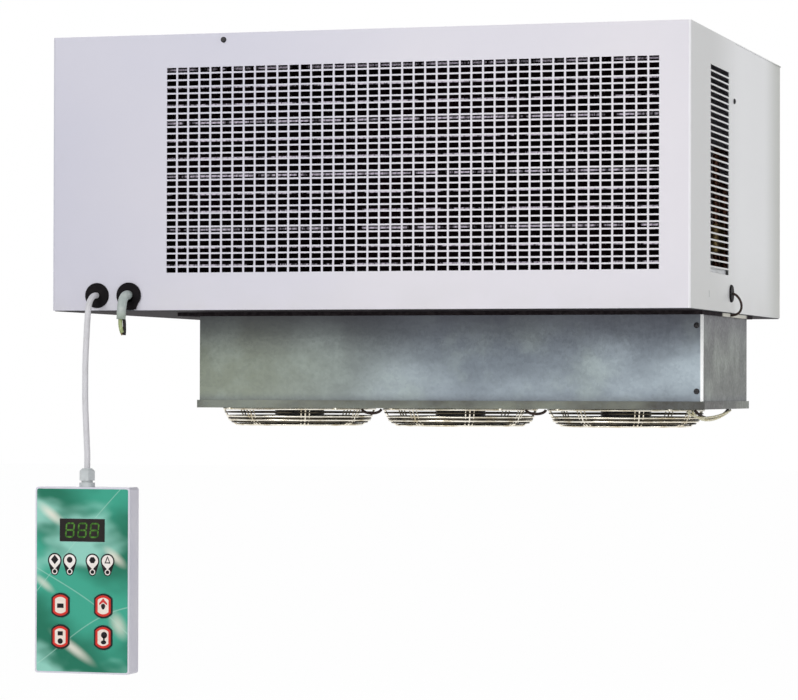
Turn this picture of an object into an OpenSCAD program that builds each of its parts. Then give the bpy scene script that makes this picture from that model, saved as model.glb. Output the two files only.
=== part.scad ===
/* [Housing] */
// Width of the housing from side to side
housing_w = 920; // [916:2:960]
// Depth of the housing from front to back
housing_d = 690; // [684:2:740]
// Height of the housing above the ceiling
housing_h = 388; // [384:2:430]
// Thickness of the painted cover sheet
cover_t = 1.2; // [0.8:0.1:1.4]
// Outer radius of the bends in the covers
bend_r = 4; // [3.5:0.5:6]
// Distance of the side seams behind the front face
seam_back = 313; // [308:1:330]
// Thickness of the sheet of the base tray
base_t = 1.5; // [1:0.1:2]
// Height of the turned up edge of the base tray
base_lip = 20; // [16:1:24]

/* [Front grille] */
// Number of slot columns
slot_cols = 43; // [31:2:43]
// Number of slot rows
slot_rows = 31; // [25:1:31]
// Width of one slot
slot_w = 13.8; // [12:0.1:14.4]
// Height of one slot
slot_h = 7.05; // [5:0.05:7.5]
// Distance from slot to slot across the panel
slot_pitch_x = 16.45; // [16:0.05:16.6]
// Distance from slot row to slot row
slot_pitch_z = 9.35; // [9:0.05:9.4]
// Distance of the slots from the left edge of the panel
grille_left = 172; // [168:1:176]
// Distance of the slots below the top of the panel
grille_top = 47; // [44:1:52]
// Distance of the side slots behind the front face
side_slot_back = 136; // [126:1:144]
// Length of the side slots
side_slot_len = 133; // [100:1:138]

/* [Condenser] */
// Number of tubes in height
cond_rows = 12; // [10:1:12]
// Number of tubes in depth
cond_cols = 3; // [2:1:3]
// Distance between tubes in height
tube_pitch = 25; // [24:0.5:25]
// Distance between tubes in depth
row_pitch = 22; // [20:0.5:22]
// Outer diameter of the coil tubes
tube_d = 9.5; // [8:0.5:10]
// Length of the finned part of the condenser
cond_len = 712; // [690:2:714]
// Diameter of the condenser fans
cond_fan_d = 250; // [230:2:252]

/* [Ceiling sleeve] */
// Width of the sleeve that passes through the ceiling
sleeve_w = 735; // [731:1:736]
// Depth of the sleeve
sleeve_d = 323; // [318:1:326]
// Drop of the sleeve below the base tray
sleeve_drop = 136; // [130:1:160]
// Distance of the sleeve from the left side of the housing
sleeve_left = 177; // [176:1:181]
// Distance of the sleeve behind the front of the housing
sleeve_setback = 125; // [122:1:128]
// Thickness of the galvanised sheet
sleeve_t = 1.5; // [1:0.1:1.6]
// Thickness of the foam gasket on the ceiling
gasket_t = 5; // [4.8:0.1:8]
// Height of the bottom flange strip
flange_h = 11; // [9:1:13]
// How far the flange strip stands out from the sleeve
flange_out = 3; // [2.6:0.1:4]

/* [Evaporator fans] */
// Distance between the fans
fan_pitch = 244; // [238:1:246]
// Diameter of the fan blades
fan_d = 200; // [184:2:200]
// Diameter of the wire guards
guard_d = 224; // [218:2:228]
// Drop of the wire guards below the flange
guard_drop = 26; // [24:1:34]
// Thickness of the guard wires
guard_wire = 3; // [2:0.2:3.2]

/* [Controller] */
// Width of the hand controller
ctrl_w = 141; // [138:1:160]
// Height of the hand controller
ctrl_h = 260; // [250:1:290]
// Thickness of the hand controller
ctrl_d = 35; // [32:1:44]
// Wall thickness of the controller case
ctrl_wall = 2.5; // [2:0.1:3]
// Width of a key over its flat sides
key_w = 27; // [22:1:29]
// Height of a key over its round ends
key_h = 34; // [28:1:36]
// Travel of a key
key_travel = 0.8; // [0.5:0.1:0.8]
// Diameter of the control cable
cable_d = 8.5; // [6:0.5:9]

/* [Hidden] */
$fn = 48;
// Clearance between pieces that are screwed or set together
fit_gap = 0.3;
// Radial clearance of a shaft in its bore
run_gap = 0.05;
// Overrun of every cut past the surface that it opens
cut = 1;
// A cube or scale factor of one
unit = 1;

// Outer faces of the housing
half_w = housing_w / 2;
half_d = housing_d / 2;
front_y = -half_d;
seam_y = front_y + seam_back;
cover_z0 = 1;
cover_top = housing_h - cover_t;
// Lap of the front cover over the rear cover
seam_lap = 14;
rear_inset = cover_t + fit_gap;
// Turned down edge of the top cover
top_lip = 20;
top_inset = 2 * (cover_t + fit_gap);
// Field of slots in the front panel
grille_x0 = -half_w + grille_left;
grille_h = (slot_rows - 1) * slot_pitch_z + slot_h;
grille_z0 = housing_h - grille_top - grille_h;
// The webs between the slot columns stand at every second column
web_step = 2;
// Slots in the back panel
back_fields = 2;
back_slot_len = 150;
back_slot_gap = 60;
back_slot_step = 2;
// Small slots in the right side of the front cover
tie_slot_w = 2;
tie_slot_h = 9;
tie_slot_back = 126;
tie_slot_z = 19;
// Cable outlets low in the front panel
outlet_z = 22;
control_in = 68;
supply_in = 116;
control_x = -half_w + control_in;
supply_x = -half_w + supply_in;
outlet_r = 15;
// Lead outlet low in the right side
side_outlet_back = 285;
side_outlet_y = front_y + side_outlet_back;
side_outlet_z = 28;
side_outlet_r = 10;
// Grommets
grommet_rim = 3;
grommet_lip_t = 2.5;
outlet_notch = 2 * (outlet_r + grommet_rim + fit_gap);
// Fixing holes in the base tray
fix_in_x = 30;
fix_in_y = 25;
fix_x = housing_w - 2 * fix_in_x;
fix_y = housing_d - 2 * fix_in_y;
fix_r = 4.5;
// Screws
screw_r = 2;
screw_head_r = 4;
screw_head_h = 2.4;
screw_len = 6;
screw_hole_r = screw_r + fit_gap;
top_screw_in = 256;
top_screw_down = 9.5;
top_screw_x = -half_w + top_screw_in;
top_screw_z = housing_h - top_screw_down;
seam_screw_y = seam_y - seam_lap / 2;
seam_screw_z = 303;
back_screw_x = 300;
back_screw_z = 12;

// Ceiling sleeve
sleeve_x0 = -half_w + sleeve_left;
sleeve_x1 = sleeve_x0 + sleeve_w;
sleeve_y0 = front_y + sleeve_setback;
sleeve_y1 = sleeve_y0 + sleeve_d;
sleeve_xc = (sleeve_x0 + sleeve_x1) / 2;
flange_t = 1.2;
flange_reach = 10;
sleeve_bottom = -sleeve_drop + flange_t + fit_gap;
plate_z = sleeve_bottom;
plate_top = plate_z + sleeve_t;
gasket_wide = 25;
gasket_right = 4;
lead_notch_y0 = -44;
lead_notch_y1 = -24;
sleeve_screw_in = 9;
sleeve_screw_zs = [-20, -111];

// Evaporator
evap_rows = 6;
evap_cols = 2;
evap_side = 47.5;
evap_len = sleeve_w - 2 * evap_side;
evap_h = evap_rows * tube_pitch;
evap_d = evap_cols * row_pitch;
lid_rim = 3;
lid_wall = 18;
lid_top = 62;
lid_roof = 16;
evap_gap = 1;
evap_top = lid_top - lid_roof - evap_gap;
evap_z0 = evap_top - evap_h;
evap_x0 = sleeve_xc - evap_len / 2;
evap_back = 240;
evap_y0 = sleeve_y0 + evap_back;
fin_t = 0.8;
fin_pitch = 8;
fin_groove = 3;
end_plate_t = 1.5;
end_plate_edge = 2;
bend_stub = 2;
header_r = 8;
header_out = 18.5;
header_past = 11;
evap_header_x = evap_x0 + evap_len + end_plate_t + header_out;
tray_t = 1.5;
tray_h = 18;
tray_z0 = -sleeve_drop + flange_h + fit_gap;
tray_side = 6;
tray_foot = 12;
spigot_r = 8;
spigot_wall = 2;
spigot_len = 25;
spigot_y0 = sleeve_y1 + flange_out + fit_gap;
spigot_z = tray_z0 + tray_t + spigot_r;
heater_r = 4;
heater_in = 10;

// Evaporator fans
fan_back = 121;
fan_shift = 12;
fan_clear = 3;
fan_y = sleeve_y0 + fan_back;
fan_xs = [for (i = [-1:1]) sleeve_xc - fan_shift + i * fan_pitch];
fan_hole_r = fan_d / 2 + fan_clear;
fan_ring_h = 18;
fan_hub_r = 42;
fan_hub_h = 30;
fan_z = -120;
blade_count = 5;
blade_t = 2;
blade_root = 3;
blade_curve = 120;
blade_tilt = 26;
shaft_r = 4;
outlet_slot_y = 23;
outlet_slot_x = 200;
outlet_slot_back = 4;
guard_r = guard_d / 2;
guard_z0 = -sleeve_drop - fit_gap - guard_wire / 2;
guard_z1 = -sleeve_drop - guard_drop + guard_wire / 2;
guard_side_share = 0.93;
guard_side_drop = 0.7;
guard_flat_share = 0.83;
guard_eye_share = 0.22;
// Rings of the guard, as shares of its radius and of its drop
guard_ring_shares = [
  [1, 0], [0.953, 0.47], [guard_side_share, guard_side_drop],
  [guard_flat_share, 1], [0.68, 1], [0.53, 1], [0.38, 1], [guard_eye_share, 1]
];
guard_spokes = 8;
guard_feet = 4;
guard_foot_r = 3.5;
guard_foot_out = 5;
motor_r = 36;
motor_z0 = guard_z1 + guard_wire / 2 + fit_gap;
motor_h = 20;

// Condenser
cond_left = 4;
cond_front = 12;
cond_x0 = grille_x0 - cond_left;
cond_x1 = cond_x0 + cond_len;
cond_xc = (cond_x0 + cond_x1) / 2;
cond_d = cond_cols * row_pitch;
cond_h = cond_rows * tube_pitch;
cond_y0 = front_y + cond_front;
cond_y1 = cond_y0 + cond_d;
cond_z0 = 44;
cond_z1 = cond_z0 + cond_h;
cond_header_x = cond_x0 - end_plate_t - header_out;
shroud_t = 1.2;
shroud_deep = 34;
shroud_y = cond_y1 + end_plate_edge + shroud_deep;
shroud_hole_r = cond_fan_d / 2 + fan_clear;
shroud_ring_y0 = -10;
shroud_ring_y1 = 20;
cond_fan_out = 176;
cond_fan_xs = [cond_xc - cond_fan_out, cond_xc + cond_fan_out];
cond_fan_z = cond_z0 + cond_h / 2;
cond_fan_behind = 6;
cond_fan_y = shroud_y + cond_fan_behind;
cond_hub_h = 36;
cond_motor_r = 43;
cond_motor_h = 70;
cond_motor_behind = 38;
cond_motor_y = shroud_y + cond_motor_behind;
arm_w = 14;
arm_t = 2;
arm_out = 8;

// Refrigerant circuit
discharge_r = 6;
discharge_bend = 24;
liquid_r = 5;
liquid_bend = 18;
valve_bend = 8;
suction_r = 8;
suction_bend = 10;
pipe_clear = 26;
comp_shift = 50;
comp_x = cond_header_x + comp_shift;
comp_y = 228;
comp_r = 78;
comp_z0 = 24;
comp_h = 212;
comp_dome = 34;
comp_foot = 180;
comp_foot_t = 3;
comp_foot_z = 20;
comp_mount_r = 12;
comp_mount_in = 16;
port_h = 22;
port_wall = 2;
terminal_w = 46;
terminal_d = 34;
terminal_h = 62;
discharge_z = cond_z0 + (cond_rows - 0.5) * tube_pitch;
condensate_z = cond_z0 + tube_pitch / 2;
discharge_y = cond_y0 + cond_d - row_pitch / 2 + header_past;
suction_z = 190;
receiver_x = 40;
receiver_y = 250;
receiver_r = 45;
receiver_h = 196;
receiver_dome = 18;
drier_x0 = 90;
drier_len = 130;
drier_r = 20;
liquid_z = 240;
valve_before = 12;
valve_y = evap_y0 - valve_before;
valve_z0 = 90;
valve_h = 40;
valve_r = 13;
switch_y = 60;
switch_r = 15;
switch_h = 30;
switch_stub_h = 8;

// Electrical box
ebox_left = 10;
ebox_w = 118;
ebox_back = 45;
ebox_d = 170;
ebox_x0 = -half_w + ebox_left;
ebox_x1 = ebox_x0 + ebox_w;
ebox_y0 = front_y + ebox_back;
ebox_y1 = ebox_y0 + ebox_d;
ebox_z0 = 60;
ebox_z1 = 286;
ebox_t = 1.2;
ebox_lid_h = 14;
ebox_foot = 20;
gland_hole_r = 8;

// Controller, hanging from the end of the control cable
ctrl_x = -392;
ctrl_y = -380;
ctrl_top = -247;
gland_z1 = -221;
gland_nut_w = 20;
gland_nut_h = 17;
gland_cone_h = 3;
gland_neck_r = 8;
gland_collar_r = 11;
gland_collar_h = 6;
ctrl_r = 4;
ctrl_split = 22;
ctrl_front_y = ctrl_y - ctrl_d / 2;
ctrl_split_y = ctrl_front_y + ctrl_split;
ctrl_back_y = ctrl_y + ctrl_d / 2;
ctrl_zc = ctrl_top - ctrl_h / 2;
overlay_t = 0.4;
overlay_in = 2.5;
window_w = 67;
window_h = 31.6;
window_t = 1.2;
window_sink = 0.8;
window_down = 60;
view_w = 58;
view_h = 22;
key_dx = 32;
key_downs = [165, 209];
key_proud = 1;
key_flange = 1.5;
key_flange_t = 1;
led_r = 2.25;
led_xs = [-41, -18.5, 15.5, 38];
led_down = 118;
board_t = 1.6;
board_in = 9;
board_gap = 1;
board_y = ctrl_front_y + ctrl_wall + key_flange_t + key_travel + board_gap;
post_r = 4;
post_in = 16;
post_screw_r = 1.5;

// Supply cable and the thin leads
supply_r = 6.5;
supply_bend = 16;
supply_out = 22;
supply_end_z = -9;
core_r = 1.6;
core_spread = 3;
core_end_z = -34;
lead_r = 1.75;
lead_loop = 6;
fan_lead_r = 2;
fan_lead_sag = 8;
fan_lead_angle = 20;
fan_lead_reach = 60;
fan_lead_in = 16;
curve_steps = 16;

// Route of the control cable, from its grommet down to the gland
control_route = [
  [-392, -348, 22], [-392, -352, 22], [-392, -359, 21], [-392, -366, 18], [-392, -372, 14],
  [-392, -376, 8], [-392, -379, 1], [-392, -380, -6], [-393, -380, -20], [-394, -380, -40],
  [-395, -380, -60], [-395.5, -380, -80], [-395.5, -380, -100], [-395.5, -380, -120],
  [-395, -380, -140], [-394, -380, -160], [-393, -380, -180], [-392, -380, -200],
  [-392, -380, -212], [-392, -380, -221]
];
cable_sides = 12;

// Places of the four keys, across and down the face of the controller
function key_place(i, j) = [ctrl_x + i * key_dx, ctrl_top - key_downs[j]];

// Unit vector along v
function along(v) = v / norm(v);

// Points of a smooth curve that is drawn by four points
function curve(p) = [for (k = [0:curve_steps])
  let (t = k / curve_steps, s = unit - t)
  s * s * s * p[0] + 3 * s * s * t * p[1] + 3 * s * t * t * p[2] + t * t * t * p[3]];

// Points round place i of a route that never runs along the direction aside
function ring_at(route, i, r, aside) =
  let (
    before = route[max(i - 1, 0)],
    after = route[min(i + 1, len(route) - 1)],
    t = along(after - before),
    u = along(cross(t, aside)),
    v = cross(t, u)
  )
  [for (k = [0:cable_sides - 1])
    let (a = 360 * k / cable_sides)
    route[i] + r * (cos(a) * u + sin(a) * v)];

// Tube swept along a route, as one polyhedron
module swept_cable(route, r, aside) {
  rings = len(route);
  points = [for (i = [0:rings - 1]) each ring_at(route, i, r, aside)];
  sides = [for (i = [0:rings - 2], k = [0:cable_sides - 1])
    let (n = (k + 1) % cable_sides, b = i * cable_sides, c = b + cable_sides)
    [b + k, b + n, c + n, c + k]];
  start = [for (k = [cable_sides - 1:-1:0]) k];
  end = [for (k = [0:cable_sides - 1]) (rings - 1) * cable_sides + k];
  polyhedron(points, concat([start], sides, [end]));
}

// Round rod from point a to point b
module rod(a, b, r) {
  v = b - a;
  translate(a)
    rotate([0, acos(v[2] / norm(v)), atan2(v[1], v[0])])
      cylinder(h = norm(v), r = r);
}

// Bent tube along straight runs that are joined by round bends of radius bend
module bent_tube(points, r, bend) {
  last = len(points) - 1;
  dirs = [for (i = [0:last - 1]) along(points[i + 1] - points[i])];
  turns = [for (i = [1:last - 1]) acos(dirs[i - 1] * dirs[i])];
  trims = [0, for (a = turns) bend * tan(a / 2), 0];
  for (i = [0:last - 1])
    rod(points[i] + dirs[i] * trims[i], points[i + 1] - dirs[i] * trims[i + 1], r);
  for (i = [1:last - 1]) {
    x = along(dirs[i - 1] * (dirs[i - 1] * dirs[i]) - dirs[i]);
    y = dirs[i - 1];
    z = cross(x, y);
    c = points[i] - y * trims[i] - x * bend;
    multmatrix([
      [x[0], y[0], z[0], c[0]],
      [x[1], y[1], z[1], c[1]],
      [x[2], y[2], z[2], c[2]]
    ])
      rotate_extrude(angle = turns[i - 1]) translate([bend, 0]) circle(r);
  }
}

// Cylinder along Y from y0 to y1
module y_rod(x, y0, y1, z, r) {
  translate([x, y0, z]) rotate([-90, 0, 0]) cylinder(h = y1 - y0, r = r);
}

// Cylinder along X from x0 to x1
module x_rod(x0, x1, y, z, r) {
  translate([x0, y, z]) rotate([0, 90, 0]) cylinder(h = x1 - x0, r = r);
}

// Box between two corners
module block(a, b) {
  translate(a) cube(b - a);
}

// Rectangle with round corners, from corner a to corner b
module round_rect(a, b, r) {
  translate([a[0] + r, a[1]]) square([b[0] - a[0] - 2 * r, b[1] - a[1]]);
  translate([a[0], a[1] + r]) square([b[0] - a[0], b[1] - a[1] - 2 * r]);
  for (x = [a[0] + r, b[0] - r], y = [a[1] + r, b[1] - r])
    translate([x, y]) circle(r);
}

// Plan of a cover that is open at the seam side, round at its two bends
module open_plan(w, y_bend, y_open, r) {
  s = sign(y_open - y_bend);
  translate([-w, min(y_bend + s * r, y_open)]) square([2 * w, abs(y_open - y_bend) - r]);
  translate([-w + r, min(y_bend, y_bend + s * r)]) square([2 * (w - r), r]);
  for (x = [-w + r, w - r])
    translate([x, y_bend + s * r]) circle(r);
}

// Width of the opening that starts at slot column i
function opening_w(i) =
  min(web_step - 1, slot_cols - 1 - i) * slot_pitch_x + slot_w;

module base_tray() color("gainsboro") difference() {
  x1 = half_w - 2 * (cover_t + fit_gap);
  y1 = half_d - cover_t - fit_gap;
  r = bend_r - cover_t - fit_gap;
  union() {
    linear_extrude(base_t) round_rect([-x1, -y1], [x1, y1], r);
    linear_extrude(base_lip) difference() {
      round_rect([-x1, -y1], [x1, y1], r);
      round_rect([-x1 + base_t, -y1 + base_t], [x1 - base_t, y1 - base_t], r - base_t / 2);
    }
  }
  block([sleeve_x0 + sleeve_t, sleeve_y0 + sleeve_t, -cut],
        [sleeve_x1 - sleeve_t, sleeve_y1 - sleeve_t, base_t + cut]);
  for (x = [-fix_x / 2, fix_x / 2], y = [-fix_y / 2, fix_y / 2])
    translate([x, y, -cut]) cylinder(h = base_t + 2 * cut, r = fix_r);
  for (x = [control_x, supply_x])
    translate([x - outlet_notch / 2, -y1 - cut, base_t]) cube([outlet_notch, base_t + 2 * cut, base_lip]);
  translate([x1 - base_t - cut, side_outlet_y - outlet_notch / 2, base_t])
    cube([base_t + 2 * cut, outlet_notch, base_lip]);
  for (x = [-back_screw_x, back_screw_x])
    y_rod(x, y1 - base_t - cut, y1 + cut, back_screw_z, screw_hole_r);
}

module front_cover() color("lavender") union() {
  // Front panel with its slots
  difference() {
    translate([0, front_y + cover_t, 0]) rotate([90, 0, 0]) linear_extrude(cover_t) difference() {
      translate([-half_w + bend_r, cover_z0]) square([2 * (half_w - bend_r), cover_top - cover_z0]);
      for (i = [0:web_step:slot_cols - 1], j = [0:slot_rows - 1])
        translate([grille_x0 + i * slot_pitch_x, grille_z0 + j * slot_pitch_z])
          square([opening_w(i), slot_h]);
      translate([control_x, outlet_z]) circle(outlet_r);
      translate([supply_x, outlet_z]) circle(outlet_r);
      translate([supply_x - outlet_r / 2, 0]) square([outlet_r, outlet_z]);
      translate([top_screw_x, top_screw_z]) circle(screw_hole_r);
    }
  }
  // Side wings with the bends
  difference() {
    translate([0, 0, cover_z0]) linear_extrude(cover_top - cover_z0) difference() {
      open_plan(half_w, front_y, seam_y, bend_r);
      open_plan(half_w - cover_t, front_y + cover_t, seam_y + cut, bend_r - cover_t);
      translate([-half_w + bend_r, front_y - cut]) square([2 * (half_w - bend_r), cut + bend_r]);
    }
    for (j = [0:slot_rows - 1])
      translate([half_w - cover_t - cut, front_y + side_slot_back, grille_z0 + j * slot_pitch_z])
        cube([cover_t + 2 * cut, side_slot_len, slot_h]);
    x_rod(half_w - cover_t - cut, half_w + cut, side_outlet_y, side_outlet_z, side_outlet_r);
    translate([half_w - cover_t - cut, front_y + tie_slot_back, tie_slot_z])
      cube([cover_t + 2 * cut, tie_slot_w, tie_slot_h]);
    for (x = [-half_w - cut, half_w - cover_t - cut])
      x_rod(x, x + cover_t + 2 * cut, seam_screw_y, seam_screw_z, screw_hole_r);
  }
}

module rear_cover() color("lavender") difference() {
  w = half_w - rear_inset;
  y_start = seam_y - seam_lap;
  translate([0, 0, cover_z0]) linear_extrude(cover_top - cover_z0) difference() {
    open_plan(w, half_d, y_start, bend_r);
    open_plan(w - cover_t, half_d - cover_t, y_start - cut, bend_r - cover_t);
  }
  for (j = [0:back_slot_step:slot_rows - 1], i = [0:back_fields - 1])
    translate([
      (i - back_fields / 2) * (back_slot_len + back_slot_gap) + back_slot_gap / 2,
      half_d - cover_t - cut,
      grille_z0 + j * slot_pitch_z
    ])
      cube([back_slot_len, cover_t + 2 * cut, slot_h]);
  for (x = [-w - cut, w - cover_t - cut])
    x_rod(x, x + cover_t + 2 * cut, seam_screw_y, seam_screw_z, screw_hole_r);
  for (x = [-back_screw_x, back_screw_x])
    y_rod(x, half_d - cover_t - cut, half_d + cut, back_screw_z, screw_hole_r);
}

module top_cover() color("lavender") difference() {
  union() {
    translate([0, 0, cover_top]) linear_extrude(cover_t)
      round_rect([-half_w, -half_d], [half_w, half_d], bend_r);
    translate([0, 0, housing_h - top_lip]) linear_extrude(top_lip - cover_t) difference() {
      round_rect([-half_w + top_inset, -half_d + top_inset],
                 [half_w - top_inset, half_d - top_inset], bend_r / 2);
      round_rect([-half_w + top_inset + cover_t, -half_d + top_inset + cover_t],
                 [half_w - top_inset - cover_t, half_d - top_inset - cover_t], bend_r / 4);
    }
  }
  y_rod(top_screw_x, front_y - cut, front_y + top_inset + cover_t + cut, top_screw_z, screw_hole_r);
}

// Pan head screw whose head stands on z = 0 and whose shank points to -Z
module pan_screw() {
  rotate_extrude() polygon([
    [0, -screw_len], [screw_r, -screw_len], [screw_r, 0], [screw_head_r, 0],
    [screw_head_r, screw_head_h / 3], [screw_head_r * 0.8, screw_head_h * 0.8],
    [screw_head_r / 2, screw_head_h], [0, screw_head_h]
  ]);
}

module panel_screws() color("whitesmoke") {
  translate([top_screw_x, front_y, top_screw_z]) rotate([90, 0, 0]) pan_screw();
  for (s = [-1, 1])
    translate([s * half_w, seam_screw_y, seam_screw_z]) rotate([0, s * 90, 0]) pan_screw();
  for (x = [-back_screw_x, back_screw_x])
    translate([x, half_d, back_screw_z]) rotate([-90, 0, 0]) pan_screw();
  for (z = sleeve_screw_zs)
    translate([sleeve_x1 - sleeve_screw_in, sleeve_y0, z]) rotate([90, 0, 0]) pan_screw();
}

module ceiling_gasket() color("dimgray")
  translate([0, 0, -gasket_t]) linear_extrude(gasket_t) difference() {
    translate([sleeve_x0 - gasket_wide, sleeve_y0 - gasket_wide])
      square([sleeve_w + gasket_wide + gasket_right, sleeve_d + 2 * gasket_wide]);
    translate([sleeve_x0 - fit_gap, sleeve_y0 - fit_gap])
      square([sleeve_w + 2 * fit_gap, sleeve_d + 2 * fit_gap]);
    translate([sleeve_x1 - cut, lead_notch_y0])
      square([gasket_right + 2 * cut, lead_notch_y1 - lead_notch_y0]);
  }

// Finned block with grooves between its fins and a bore for every tube
module fin_block(x0, len_x, y0, depth, z0, rows, cols) {
  count = floor(len_x / fin_pitch);
  margin = (len_x - count * fin_pitch + fin_t) / 2;
  grooves = [for (i = [0:count - 1]) margin + i * fin_pitch + fin_t / 2];
  gap = fin_pitch - fin_t;
  front = [for (g = grooves)
    each [[g, 0], [g, fin_groove], [min(g + gap, len_x - margin / 2), fin_groove],
          [min(g + gap, len_x - margin / 2), 0]]];
  back = [for (k = [len(front) - 1:-1:0]) [front[k][0], depth - front[k][1]]];
  difference() {
    translate([x0, y0, z0]) linear_extrude(rows * tube_pitch)
      polygon(concat([[0, 0]], front, [[len_x, 0], [len_x, depth]], back, [[0, depth]]));
    for (i = [0:cols - 1], j = [0:rows - 1])
      x_rod(x0 - cut, x0 + len_x + cut, y0 + (i + 0.5) * row_pitch, z0 + (j + 0.5) * tube_pitch,
            tube_d / 2 + run_gap);
  }
}

// Serpentine of tubes with U bends and a header at each end
// side is 1 where the tubes end at the right and -1 where they end at the left
module coil_tubes(x0, len_x, y0, z0, rows, cols, side, past_lower, past_upper) {
  r = tube_d / 2;
  xa = x0 - end_plate_t - bend_stub;
  xb = x0 + len_x + end_plate_t + bend_stub;
  header_x = side > 0 ? x0 + len_x + end_plate_t + header_out : x0 - end_plate_t - header_out;
  for (i = [0:cols - 1]) {
    y = y0 + (i + 0.5) * row_pitch;
    for (j = [0:rows - 1]) {
      z = z0 + (j + 0.5) * tube_pitch;
      end = j == 0 || j == rows - 1;
      x_rod(end && side < 0 ? header_x : xa, end && side > 0 ? header_x : xb, y, z, r);
    }
    for (j = [0:rows - 2]) {
      far = (j % 2 == 0);
      right = side > 0 ? !far : far;
      translate([right ? xb : xa, y, z0 + (j + unit) * tube_pitch])
        rotate([90, 0, 0])
          rotate_extrude(angle = 180, start = right ? -90 : 90)
            translate([tube_pitch / 2, 0]) circle(r);
    }
  }
  for (k = [0, 1]) {
    z = z0 + (k == 0 ? 0.5 : rows - 0.5) * tube_pitch;
    past = k == 0 ? past_lower : past_upper;
    y_rod(header_x, y0 + row_pitch / 2 - (past < 0 ? header_past : header_r),
          y0 + (cols - 0.5) * row_pitch + (past > 0 ? header_past : header_r), z, header_r);
  }
}

// End plate with a hole for every tube
module end_plate(x0, y0, depth, za, zb, z0, rows, cols) {
  difference() {
    block([x0, y0 - end_plate_edge, za], [x0 + end_plate_t, y0 + depth + end_plate_edge, zb]);
    for (i = [0:cols - 1], j = [0:rows - 1])
      x_rod(x0 - cut, x0 + end_plate_t + cut, y0 + (i + 0.5) * row_pitch,
            z0 + (j + 0.5) * tube_pitch, tube_d / 2 + run_gap);
  }
}

module condenser_fins() color("darkslategray")
  fin_block(cond_x0, cond_len, cond_y0, cond_d, cond_z0, cond_rows, cond_cols);

module condenser_tubes() color("peru")
  coil_tubes(cond_x0, cond_len, cond_y0, cond_z0, cond_rows, cond_cols, -1, 1, 1);

module condenser_end_plates() color("silver") {
  for (x = [cond_x0 - end_plate_t, cond_x1])
    end_plate(x, cond_y0, cond_d, base_t, cond_z1 + end_plate_edge, cond_z0, cond_rows, cond_cols);
}

module fan_shroud() color("slategray") difference() {
  y_front = cond_y1 + end_plate_edge + fit_gap;
  union() {
    difference() {
      block([cond_x0 - end_plate_t, y_front, cond_z0 - end_plate_edge],
            [cond_x1 + end_plate_t, shroud_y + shroud_t, cond_z1 + end_plate_edge]);
      block([cond_x0 - end_plate_t + shroud_t, y_front - cut, cond_z0 - end_plate_edge + shroud_t],
            [cond_x1 + end_plate_t - shroud_t, shroud_y, cond_z1 + end_plate_edge - shroud_t]);
    }
    for (x = cond_fan_xs)
      y_rod(x, shroud_y + shroud_ring_y0, shroud_y + shroud_ring_y1, cond_fan_z,
            shroud_hole_r + shroud_t);
  }
  for (x = cond_fan_xs)
    y_rod(x, y_front - cut, shroud_y + shroud_ring_y1 + cut, cond_fan_z, shroud_hole_r);
}

// Fan rotor about Z, its hub centred on z = 0
module fan_rotor(tip_r, hub_r, hub_h) {
  root = hub_r - blade_root;
  difference() {
    union() {
      cylinder(h = hub_h, r = hub_r, center = true);
      for (k = [0:blade_count - 1])
        rotate([0, 0, k * 360 / blade_count])
          intersection() {
            translate([0, 0, -hub_h / 2]) linear_extrude(hub_h) intersection() {
              circle(tip_r);
              polygon([[root, -hub_r * 0.42], [tip_r, -tip_r * 0.42], [tip_r + hub_r, 0],
                       [tip_r, tip_r * 0.3], [root, hub_r * 0.4]]);
            }
            translate([0, blade_curve * sin(blade_tilt), -blade_curve * cos(blade_tilt)])
              rotate([0, 90, 0]) difference() {
                cylinder(h = tip_r + cut, r = blade_curve + blade_t / 2);
                translate([0, 0, -cut]) cylinder(h = tip_r + 3 * cut, r = blade_curve - blade_t / 2);
              }
          }
    }
    cylinder(h = hub_h + 2 * cut, r = shaft_r + run_gap, center = true);
  }
}

module condenser_fan(i) color("black")
  translate([cond_fan_xs[i], cond_fan_y, cond_fan_z]) rotate([90, 0, 0])
    fan_rotor(cond_fan_d / 2, fan_hub_r, cond_hub_h);

module condenser_fan_left() condenser_fan(0);

module condenser_fan_right() condenser_fan(1);

// Motor body with its shaft and the three arms that hold it on the shroud
module condenser_motor(i) color("dimgray")
  translate([cond_fan_xs[i], 0, cond_fan_z]) {
    arm_r = shroud_hole_r + shroud_t + arm_out;
    rear_y = shroud_y + shroud_t;
    translate([0, cond_motor_y + arm_t / 2, 0]) rotate([-90, 0, 0]) rotate_extrude() polygon([
      [0, 0], [cond_motor_r, 0], [cond_motor_r, cond_motor_h * 0.8],
      [cond_motor_r * 0.85, cond_motor_h], [0, cond_motor_h]
    ]);
    y_rod(0, cond_fan_y - cond_hub_h / 2, cond_motor_y + 2 * arm_t, 0, shaft_r);
    for (a = [90, 210, 330])
      rotate([0, -a, 0]) {
        block([shaft_r * 2, cond_motor_y, -arm_w / 2], [arm_r + arm_t, cond_motor_y + arm_t, arm_w / 2]);
        block([arm_r, rear_y, -arm_w / 2], [arm_r + arm_t, cond_motor_y + arm_t, arm_w / 2]);
      }
  }

module condenser_motor_left() condenser_motor(0);

module condenser_motor_right() condenser_motor(1);

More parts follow.
